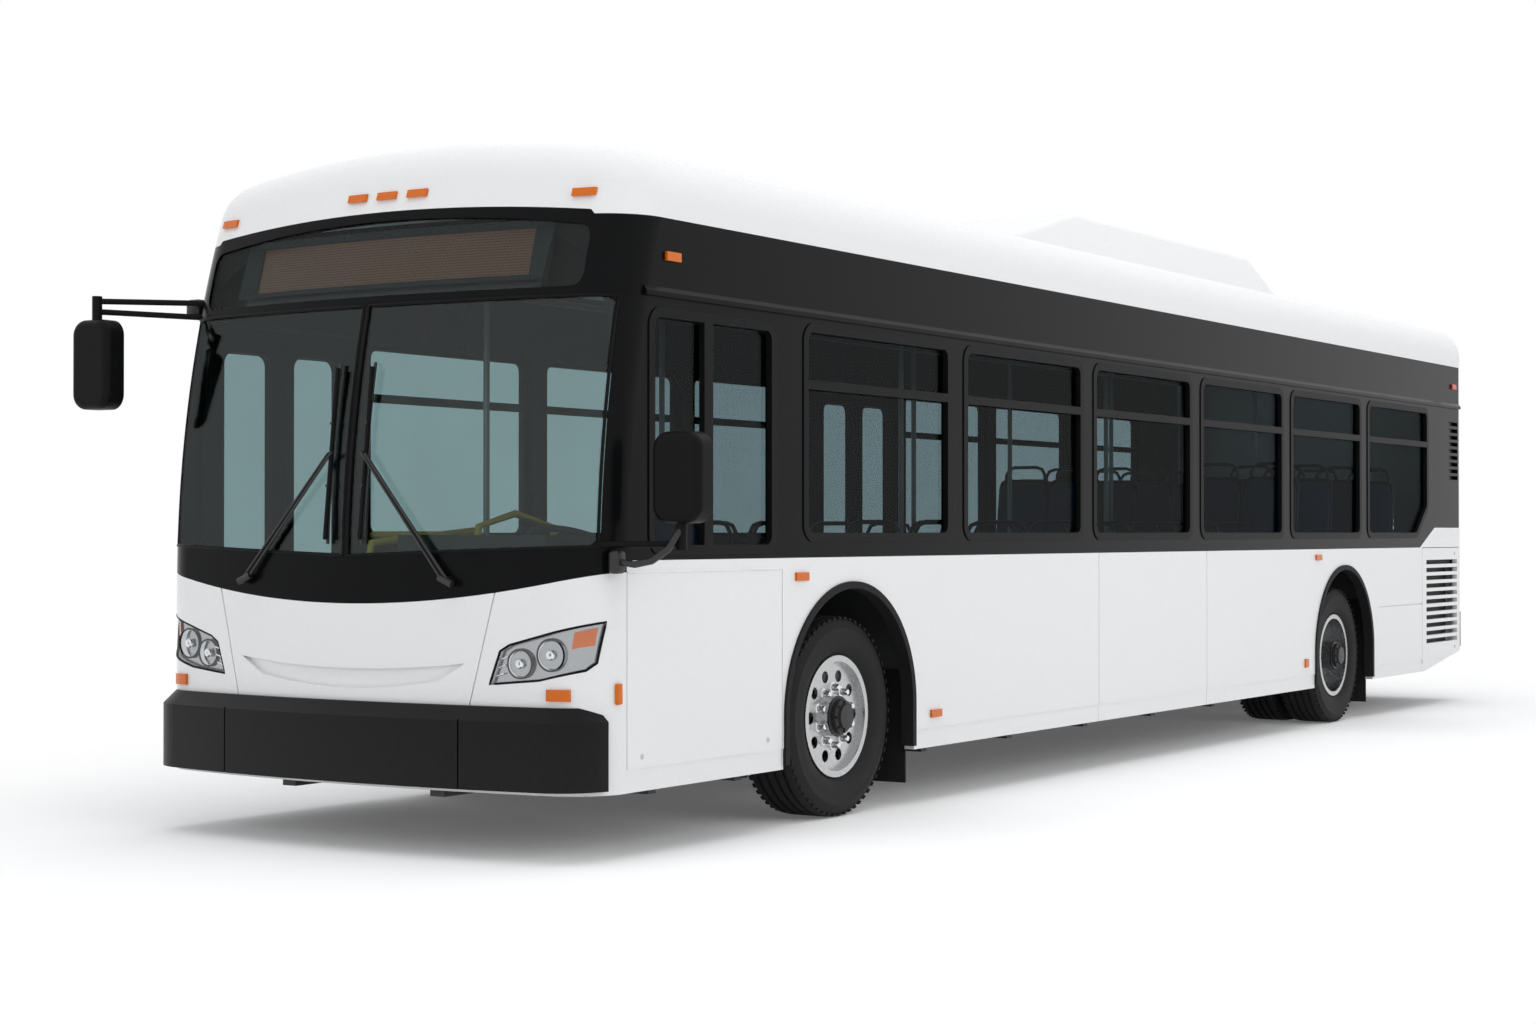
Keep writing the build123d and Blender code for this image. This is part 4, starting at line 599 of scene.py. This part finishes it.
tray = Shape()
bowls = Shape()
rims = Shape()
bulbs = Shape()
signal = Shape()
cover = Shape()
gasket = Shape()
for side in (1, -1):
    tray.take(nose_sheet(inset_outline(LAMP, 0.995), side, TRAY_DEPTH))
    for y, z, radius in REFLECTORS:
        bowl(bowls, y, z, side, radius, BOWL_DEPTH)
        lamp_ring(rims, y, z, side, radius * 1.07, 0.004)
        lamp_ring(bulbs, y, z, side, radius * 0.20, 0.010)
    for f in (0.2, 0.5, 0.8):
        a = nose_point(0.80 + 0.03 * f, 0.77 + 0.12 * f, 0.016)
        bulbs.tube([(a.x, a.y * side, a.z), (a.x - 0.002, (a.y + 0.045) * side, a.z + 0.012)], 0.004, sides=8)
    signal.take(nose_sheet(SIGNAL, side, SIGNAL_DEPTH))
    cover.take(nose_sheet(inset_outline(LAMP, 0.99), side, COVER_DEPTH))
    gasket.tube(nose_loop(LAMP, 8, side, GASKET_DEPTH), 0.006, sides=8, closed=True)
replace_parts(tray.make("lamp_tray", "lamp_silver", "body"), "headlamps")
bowls.make("lamp_bowls", "bowl_silver", "body")
rims.make("lamp_rims", "frame_black", "body")
bulbs.make("lamp_bulbs", "chrome", "body")
signal.make("lamp_signal", "amber", "body")
cover.make("lamp_cover", "lamp_lens", "body")
gasket.make("lamp_gasket", "frame_black", "body")

# Screen surround and seal
SCREEN = [(0.014, 1.309), (1.248, 1.351), (1.248, 2.433), (0.014, 2.433)]
SEAL_DEPTH, SEAL_R = 0.003, 0.008
seal = Shape()
for side in (1, -1):
    seal.tube(nose_loop(SCREEN, 24, side, SEAL_DEPTH), SEAL_R, sides=8, closed=True)
seal.make("screen_seal", "frame_black", "body")


# Sign glass is clear, the screens are tinted
SIGN_GLASS_Z = 2.455
sign_pane = NODES["front_glass"].data
sign_pane.materials.append(MAT["sign_glass"])
for face in sign_pane.polygons:
    if (NODES["front_glass"].matrix_world @ face.center).z > SIGN_GLASS_Z:
        face.material_index = 1

# Bezel round the display, behind its glass
bezel = Shape()
BEZEL = [(-0.925, 2.515), (0.90, 2.515), (0.925, 2.785), (-0.90, 2.785)]
INNER_BEZEL = [(-0.812, 2.541), (0.812, 2.541), (0.812, 2.753), (-0.812, 2.753)]
for i in range(4):
    k = (i + 1) % 4
    rows = []
    for f in [n / 12 for n in range(13)]:
        oy = BEZEL[i][0] + (BEZEL[k][0] - BEZEL[i][0]) * f
        oz = BEZEL[i][1] + (BEZEL[k][1] - BEZEL[i][1]) * f
        iy = INNER_BEZEL[i][0] + (INNER_BEZEL[k][0] - INNER_BEZEL[i][0]) * f
        iz = INNER_BEZEL[i][1] + (INNER_BEZEL[k][1] - INNER_BEZEL[i][1]) * f
        rows += [nose_point(oy, oz, 0.034), nose_point(iy, iz, 0.058)]
    bezel.add(rows, [(2 * n, 2 * n + 1, 2 * n + 3, 2 * n + 2) for n in range(12)])
bezel.make("sign_bezel", "bezel_grey", "body")
backing = Shape()
BACKING = [(-1.14, SIGN_GLASS_Z), (1.14, SIGN_GLASS_Z), (1.14, 2.77), (0.6, 2.82), (-0.6, 2.82), (-1.14, 2.77)]
backing.take(nose_sheet(BACKING, 1, 0.104, 0.08))
backing.make("sign_backing", "frame_black", "body")

# Weather strips over the doors
strips = Shape()
for front, length in DOORS.values():
    strips.box((front - length + 0.002, -1.283, 2.4275), (front - 0.002, -1.262, 2.4445), 0.003)
strips.make("door_strips", "rubber", "body")


# Seats: shell, crowned cushions and hoop handles
def pillow(shape, low, high, lean=0.0, power=0.34, around=20, over=12):
    """A crowned closed form that fills the box, leaning back by that much over its height."""
    c = [(low[i] + high[i]) / 2 for i in range(3)]
    h = [(high[i] - low[i]) / 2 for i in range(3)]

    def bent(v):
        return math.copysign(abs(v) ** power, v)

    verts = []
    for i in range(over + 1):
        v = -math.pi / 2 + math.pi * i / over
        for k in range(around):
            u = FULL_TURN * k / around
            x = h[0] * bent(math.cos(v)) * bent(math.cos(u))
            y = h[1] * bent(math.cos(v)) * bent(math.sin(u))
            z = h[2] * bent(math.sin(v))
            verts.append((c[0] + x - lean * (z + h[2]) / (2 * h[2]), c[1] + y, c[2] + z))
    faces = []
    for i in range(over):
        for k in range(around):
            q = (k + 1) % around
            faces.append((i * around + k, i * around + q, (i + 1) * around + q, (i + 1) * around + k))
    shape.add(verts, faces)


shells = Shape()
cushions = Shape()
hoops = Shape()
FLOOR_Z, DECK_Z, HOUSING_Z = 0.38, 0.78, 1.175
FIRST_ROW_X, ROW_PITCH = 2.56, 0.72
LOW_ROWS, PAIRED_ROWS = 7, 4
AISLE_SEAT, WALL_SEAT = (0.35, 0.778), (0.782, 1.21)
seat_rows = [(FIRST_ROW_X - ROW_PITCH * i, FLOOR_Z, FLOOR_Z, (1, -1) if i < PAIRED_ROWS else (1,))
             for i in range(LOW_ROWS)]
for step, foot in ((0.76, DECK_Z), (0.06, HOUSING_Z), (-0.62, HOUSING_Z), (-1.36, DECK_Z)):
    seat_rows.append((REAR_AXLE + step, DECK_Z + 0.04, foot, (1, -1)))


def seat(x, floor_z, y0, y1, side):
    lo, hi = sorted((side * y0, side * y1))
    top = floor_z + 1.0
    pillow(cushions, (x + 0.075, lo + 0.012, floor_z + 0.385), (x + 0.455, hi - 0.012, floor_z + 0.448))
    pillow(cushions, (x + 0.012, lo + 0.012, floor_z + 0.455), (x + 0.062, hi - 0.012, top - 0.03), lean=0.082)
    pillow(shells, (x - 0.006, lo + 0.004, floor_z + 0.37), (x + 0.046, hi - 0.004, top), lean=0.084, power=0.22)
    pillow(shells, (x + 0.0, lo + 0.004, floor_z + 0.35), (x + 0.46, hi - 0.004, floor_z + 0.41), power=0.22)
    bend = [(lo + 0.05, top - 0.06), (lo + 0.05, top + 0.03), (lo + 0.075, top + 0.075), (lo + 0.12, top + 0.09),
            (hi - 0.12, top + 0.09), (hi - 0.075, top + 0.075), (hi - 0.05, top + 0.03), (hi - 0.05, top - 0.06)]
    hoops.tube([(x - 0.075, y, z) for y, z in bend], 0.013, sides=10)


for x, floor_z, foot_z, sides in seat_rows:
    for side in sides:
        seat(x, floor_z, *AISLE_SEAT, side)
        seat(x, floor_z, *WALL_SEAT, side)
        lo, hi = sorted((side * 0.55, side * 1.0))
        shells.box((x + 0.06, lo, foot_z + 0.001), (x + 0.25, hi, floor_z + 0.36), 0.02)
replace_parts(shells.make("seat_shells", "dash_plastic", "body"), "passenger_seats")
cushions.make("seat_cushions", "seat_blue", "body")
hoops.make("seat_hoops", "handle_black", "body")

shells = Shape()
cushions = Shape()
hoops = Shape()
seat(4.70, 0.50, 0.39, 0.87, 1)
shells.box((4.78, 0.5, 0.381), (5.0, 0.76, 0.86), 0.03)
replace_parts(shells.make("driver_shell", "dash_plastic", "body"), "driver_seat")
cushions.make("driver_cushions", "seat_blue", "body")
hoops.make("driver_hoop", "handle_black", "body")

# Dials and switches on the dashboard
DIAL = [(0.0, -0.004), (0.045, -0.004), (0.050, 0.0), (0.045, 0.004)]
dials = Shape()
for y in (0.46, 0.63, 0.80):
    dials.ring((5.556, y, 1.335), DIAL, axis="X", sides=28, closed=False)
for k in range(6):
    dials.box((5.548, 0.30 + 0.022 * k, 1.30), (5.560, 0.316 + 0.022 * k, 1.33), 0.003)
dials.make("dash_dials", "bezel_grey", "body")


# Seals round the door leaves' glass and along their meeting edges
LEAF_INSET, LEAF_CORNER_R = 0.135, 0.062
LEAF_LOW_Z, LEAF_HIGH_Z = 0.53, 2.24
HINGE_IN, MEET_GAP = 0.028, 0.005


def leaf_seal(name, hinge_x, meet_x, body):
    lo, hi = sorted((hinge_x, meet_x))
    s = Shape()
    y = -HALF_W - 0.001
    loop = []
    fore, aft = hi - LEAF_INSET, lo + LEAF_INSET
    for cx, cz, start in ((fore, LEAF_HIGH_Z, 0), (aft, LEAF_HIGH_Z, 90), (aft, LEAF_LOW_Z, 180),
                          (fore, LEAF_LOW_Z, 270)):
        for k in range(7):
            t = math.radians(start + 15 * k)
            loop.append((cx + LEAF_CORNER_R * math.cos(t), y, cz + LEAF_CORNER_R * math.sin(t)))
    s.tube(loop, 0.007, sides=8, closed=True)
    s.box((meet_x - 0.0035, -HALF_W - 0.002, 0.36), (meet_x + 0.0035, -HALF_W + 0.03, 2.41), 0.002)
    s.make(name, "rubber", body)


for door, (front, length) in DOORS.items():
    middle = front - length / 2
    leaf_seal(door + "_fore_seal", front - HINGE_IN, middle + MEET_GAP, door + "_door_fore")
    leaf_seal(door + "_aft_seal", front - length + HINGE_IN, middle - MEET_GAP, door + "_door_aft")

# Yellow rails by the front door
RAIL_R = 0.018
ENTRY_RAIL = [(5.60, 1.05), (5.52, 1.36), (4.75, 1.42), (4.70, 1.3), (4.70, 0.385)]
DRIVER_RAIL = [(5.58, 1.0), (5.52, 1.44), (5.25, 1.50), (4.95, 1.44), (4.93, 0.385)]
rails = Shape()
rails.tube([(x, -0.46, z) for x, z in ENTRY_RAIL], RAIL_R)
for z in (1.40, 0.85):
    rails.tube([(4.705, -0.47, z), (4.705, -1.18, z)], RAIL_R)
rails.tube([(x, 0.20, z) for x, z in DRIVER_RAIL], RAIL_R)
rails.make("door_rails", "yellow", "body")

# Ceiling rails along the aisle
long_rails = Shape()
for side in (1, -1):
    long_rails.tube([(4.4, side * 0.42, 2.62), (-4.6, side * 0.42, 2.62)], 0.016)
long_rails.make("ceiling_rails", "rail_grey", "body")

# Wipers: two rods, yoke and rubber blade beside each solid arm
WIPER_FOOT_Z, GRIP_Z = 1.20, 1.765
BLADE_LOW_Z, BLADE_LENGTH, BLADE_STEPS = 1.36, 0.81, 16
ROD_OUT, CLIP_OUT, CLIP_IN, BLADE_OUT = -0.034, -0.036, -0.006, -0.011
wiper = Shape()
for pivot_y, blade_y in ((-0.61, -0.095), (0.59, 0.11)):
    a = nose_point(pivot_y, WIPER_FOOT_Z, ROD_OUT)
    b = nose_point(blade_y, GRIP_Z, ROD_OUT)
    off = Vector((0, 0.030 if pivot_y < 0 else -0.030, 0.012))
    wiper.tube([a + off, b + off * 0.6], 0.006, sides=8)
    wiper.tube([a - off * 0.6, b - off * 0.3], 0.006, sides=8)
    wiper.tube([a + off * 1.3, a - off * 1.1], 0.016, sides=10)
    for z in (1.40, 1.62, 1.90, 2.13):
        wiper.tube([nose_point(blade_y, z, CLIP_OUT), nose_point(blade_y, z, CLIP_IN)], 0.007, sides=8)
    line = [nose_point(blade_y, BLADE_LOW_Z + BLADE_LENGTH * k / BLADE_STEPS, BLADE_OUT)
            for k in range(BLADE_STEPS + 1)]
    wiper.tube(line, 0.008, sides=8)
wiper.make("wiper_frames", "handle_black", "body")

# Mirror brackets at the body corners, with a curved tube to the left head
bracket = Shape()
root = nose_point(-1.262, 2.50, 0.0)
bracket.box((root.x - 0.035, -1.345, 2.455), (root.x + 0.055, -1.255, 2.545), 0.02)
bracket.box((5.93, 1.288, 1.235), (6.0, 1.345, 1.335), 0.018)
bracket.tube([(5.965, 1.33, 1.285), (5.965, 1.41, 1.275), (5.955, 1.49, 1.29), (5.92, 1.55, 1.34), (5.86, 1.57, 1.42),
              (5.85, 1.57, 1.47)], 0.015, sides=12)
bracket.make("mirror_brackets", "handle_black", "body")

# Mirror faces
glass = Shape()
glass.box((6.170, -1.668, 2.045), (6.1745, -1.472, 2.385), 0.002)
glass.box((5.790, 1.472, 1.495), (5.7945, 1.668, 1.795), 0.002)
glass.make("mirror_faces", "mirror_face", "body")

# Upright marker lamps at the front corners
marker = Shape()
for side in (1, -1):
    marker.box((5.905, side * 1.286, 0.675), (5.940, side * 1.306, 0.765), 0.006)
marker.make("corner_markers", "amber", "body")

# Latches on the access and radiator doors
ACCESS_LATCH = [(0.0, 0.008), (0.010, 0.008), (0.014, 0.005), (0.016, 0.0)]
RADIATOR_LATCH = [(0.0, 0.003), (0.012, 0.003), (0.016, 0.0)]
latch = Shape()
for x in (5.75, 4.735):
    latch.ring((x, HALF_W - 0.006, 0.44), ACCESS_LATCH, sides=20, closed=False)
latch.make("access_latches", "latch_steel", "access_door")
latch = Shape()
for z in (0.46, 1.235):
    latch.ring((-5.95, HALF_W, z), RADIATOR_LATCH, sides=20, closed=False)
latch.make("radiator_latches", "latch_steel", "radiator_door")


# Stage, lights and camera
NEAR_LIFT = 0.10
FADE_FROM, FADE_TO = 6.8, 10.5
FLOOR_SIZE = 400.0


def math_node(nodes, kind, value=None):
    node = nodes.new("ShaderNodeMath")
    node.operation = kind
    if value is not None:
        node.inputs[1].default_value = value
    return node


def seen_directly(nodes, links):
    """One where the camera, a mirror or a pane looks, nought where light is gathered."""
    path = nodes.new("ShaderNodeLightPath")
    first = math_node(nodes, "MAXIMUM")
    both = math_node(nodes, "MAXIMUM")
    links.new(path.outputs["Is Camera Ray"], first.inputs[0])
    links.new(path.outputs["Is Transmission Ray"], first.inputs[1])
    links.new(first.outputs[0], both.inputs[0])
    links.new(path.outputs["Is Glossy Ray"], both.inputs[1])
    return both.outputs[0]


def white_floor():
    """Pale floor that keeps the shadow near the bus and fades to plain white far off."""
    m, n, l = shader("stage_floor")
    out = n.new("ShaderNodeOutputMaterial")
    plain = n.new("ShaderNodeBsdfDiffuse")
    plain.inputs["Color"].default_value = (0.93, 0.93, 0.93, 1)
    lift = n.new("ShaderNodeEmission")
    lift.inputs["Color"].default_value = PLAIN_WHITE
    blend = n.new("ShaderNodeMixShader")
    coord = n.new("ShaderNodeTexCoord")
    stretch = n.new("ShaderNodeMapping")
    stretch.inputs["Scale"].default_value = (1.0, 1.9, 1.0)
    l.new(coord.outputs["Object"], stretch.inputs["Vector"])
    reach = n.new("ShaderNodeVectorMath")
    reach.operation = "LENGTH"
    l.new(stretch.outputs[0], reach.inputs[0])
    fade = n.new("ShaderNodeMapRange")
    fade.interpolation_type = "SMOOTHSTEP"
    fade.inputs["From Min"].default_value = FADE_FROM
    fade.inputs["From Max"].default_value = FADE_TO
    l.new(reach.outputs["Value"], fade.inputs["Value"])
    share = math_node(n, "MULTIPLY")
    l.new(fade.outputs[0], share.inputs[0])
    l.new(seen_directly(n, l), share.inputs[1])
    l.new(share.outputs[0], blend.inputs[0])
    glow = n.new("ShaderNodeAddShader")
    near = n.new("ShaderNodeEmission")
    near.inputs["Color"].default_value = PLAIN_WHITE
    strength = math_node(n, "MULTIPLY", NEAR_LIFT)
    l.new(seen_directly(n, l), strength.inputs[0])
    l.new(strength.outputs[0], near.inputs["Strength"])
    l.new(plain.outputs[0], glow.inputs[0])
    l.new(near.outputs[0], glow.inputs[1])
    l.new(glow.outputs[0], blend.inputs[1])
    l.new(lift.outputs[0], blend.inputs[2])
    l.new(blend.outputs[0], out.inputs[0])
    return m


bpy.ops.mesh.primitive_plane_add(size=FLOOR_SIZE, location=(0, 0, 0))
floor = bpy.context.object
floor.name = "stage_floor"
floor.data.materials.append(white_floor())

world = bpy.data.worlds.new("studio")
bpy.context.scene.world = world
world.use_nodes = True
wn, wl = world.node_tree.nodes, world.node_tree.links
wn.clear()
w_out = wn.new("ShaderNodeOutputWorld")
w_mix = wn.new("ShaderNodeMixShader")
w_light = wn.new("ShaderNodeBackground")
w_white = wn.new("ShaderNodeBackground")
w_light.inputs["Color"].default_value = (0.97, 0.98, 1.0, 1)
w_coord = wn.new("ShaderNodeTexCoord")
w_split = wn.new("ShaderNodeSeparateXYZ")
w_level = wn.new("ShaderNodeMapRange")
w_level.inputs["From Min"].default_value = 0.0
w_level.inputs["From Max"].default_value = 0.8
w_level.inputs["To Min"].default_value = 0.14
w_level.inputs["To Max"].default_value = 0.75
wl.new(w_coord.outputs["Generated"], w_split.inputs[0])
wl.new(w_split.outputs["Z"], w_level.inputs["Value"])
wl.new(w_level.outputs[0], w_light.inputs["Strength"])
w_white.inputs["Color"].default_value = PLAIN_WHITE
w_white.inputs["Strength"].default_value = 1.0
wl.new(seen_directly(wn, wl), w_mix.inputs[0])
wl.new(w_light.outputs[0], w_mix.inputs[1])
wl.new(w_white.outputs[0], w_mix.inputs[2])
wl.new(w_mix.outputs[0], w_out.inputs[0])


def area(name, place, aim, size, power):
    data = bpy.data.lights.new(name, "AREA")
    data.shape = "RECTANGLE"
    data.size, data.size_y = size
    data.energy = power
    o = bpy.data.objects.new(name, data)
    bpy.context.scene.collection.objects.link(o)
    o.location = place
    o.rotation_mode = "QUATERNION"
    o.rotation_quaternion = (Vector(aim) - Vector(place)).to_track_quat("-Z", "Y")
    o.visible_glossy = False


area("overhead", (0.0, 1.0, 13.0), (0, 0, 0), (26, 12), 1080)
area("key_left", (3.0, 17.0, 8.0), (0, 0, 1.2), (20, 8), 900)
area("front_fill", (19.0, -3.0, 6.0), (5, 0, 1.2), (9, 7), 380)

cam_data = bpy.data.cameras.new("photo_view")
cam = bpy.data.objects.new("photo_view", cam_data)
bpy.context.scene.collection.objects.link(cam)
cam_data.lens = 57.41
cam_data.sensor_width = 36.0
cam_data.clip_end = 500.0
YAW, PITCH = math.radians(32.486), math.radians(0.48)
cam.location = (14.41, 7.4552, 1.4107)
aim = Vector((-math.cos(YAW) * math.cos(PITCH), -math.sin(YAW) * math.cos(PITCH), math.sin(PITCH)))
cam.rotation_mode = "QUATERNION"
cam.rotation_quaternion = aim.to_track_quat("-Z", "Y")
bpy.context.scene.camera = cam
bpy.context.scene.view_settings.view_transform = "Standard"
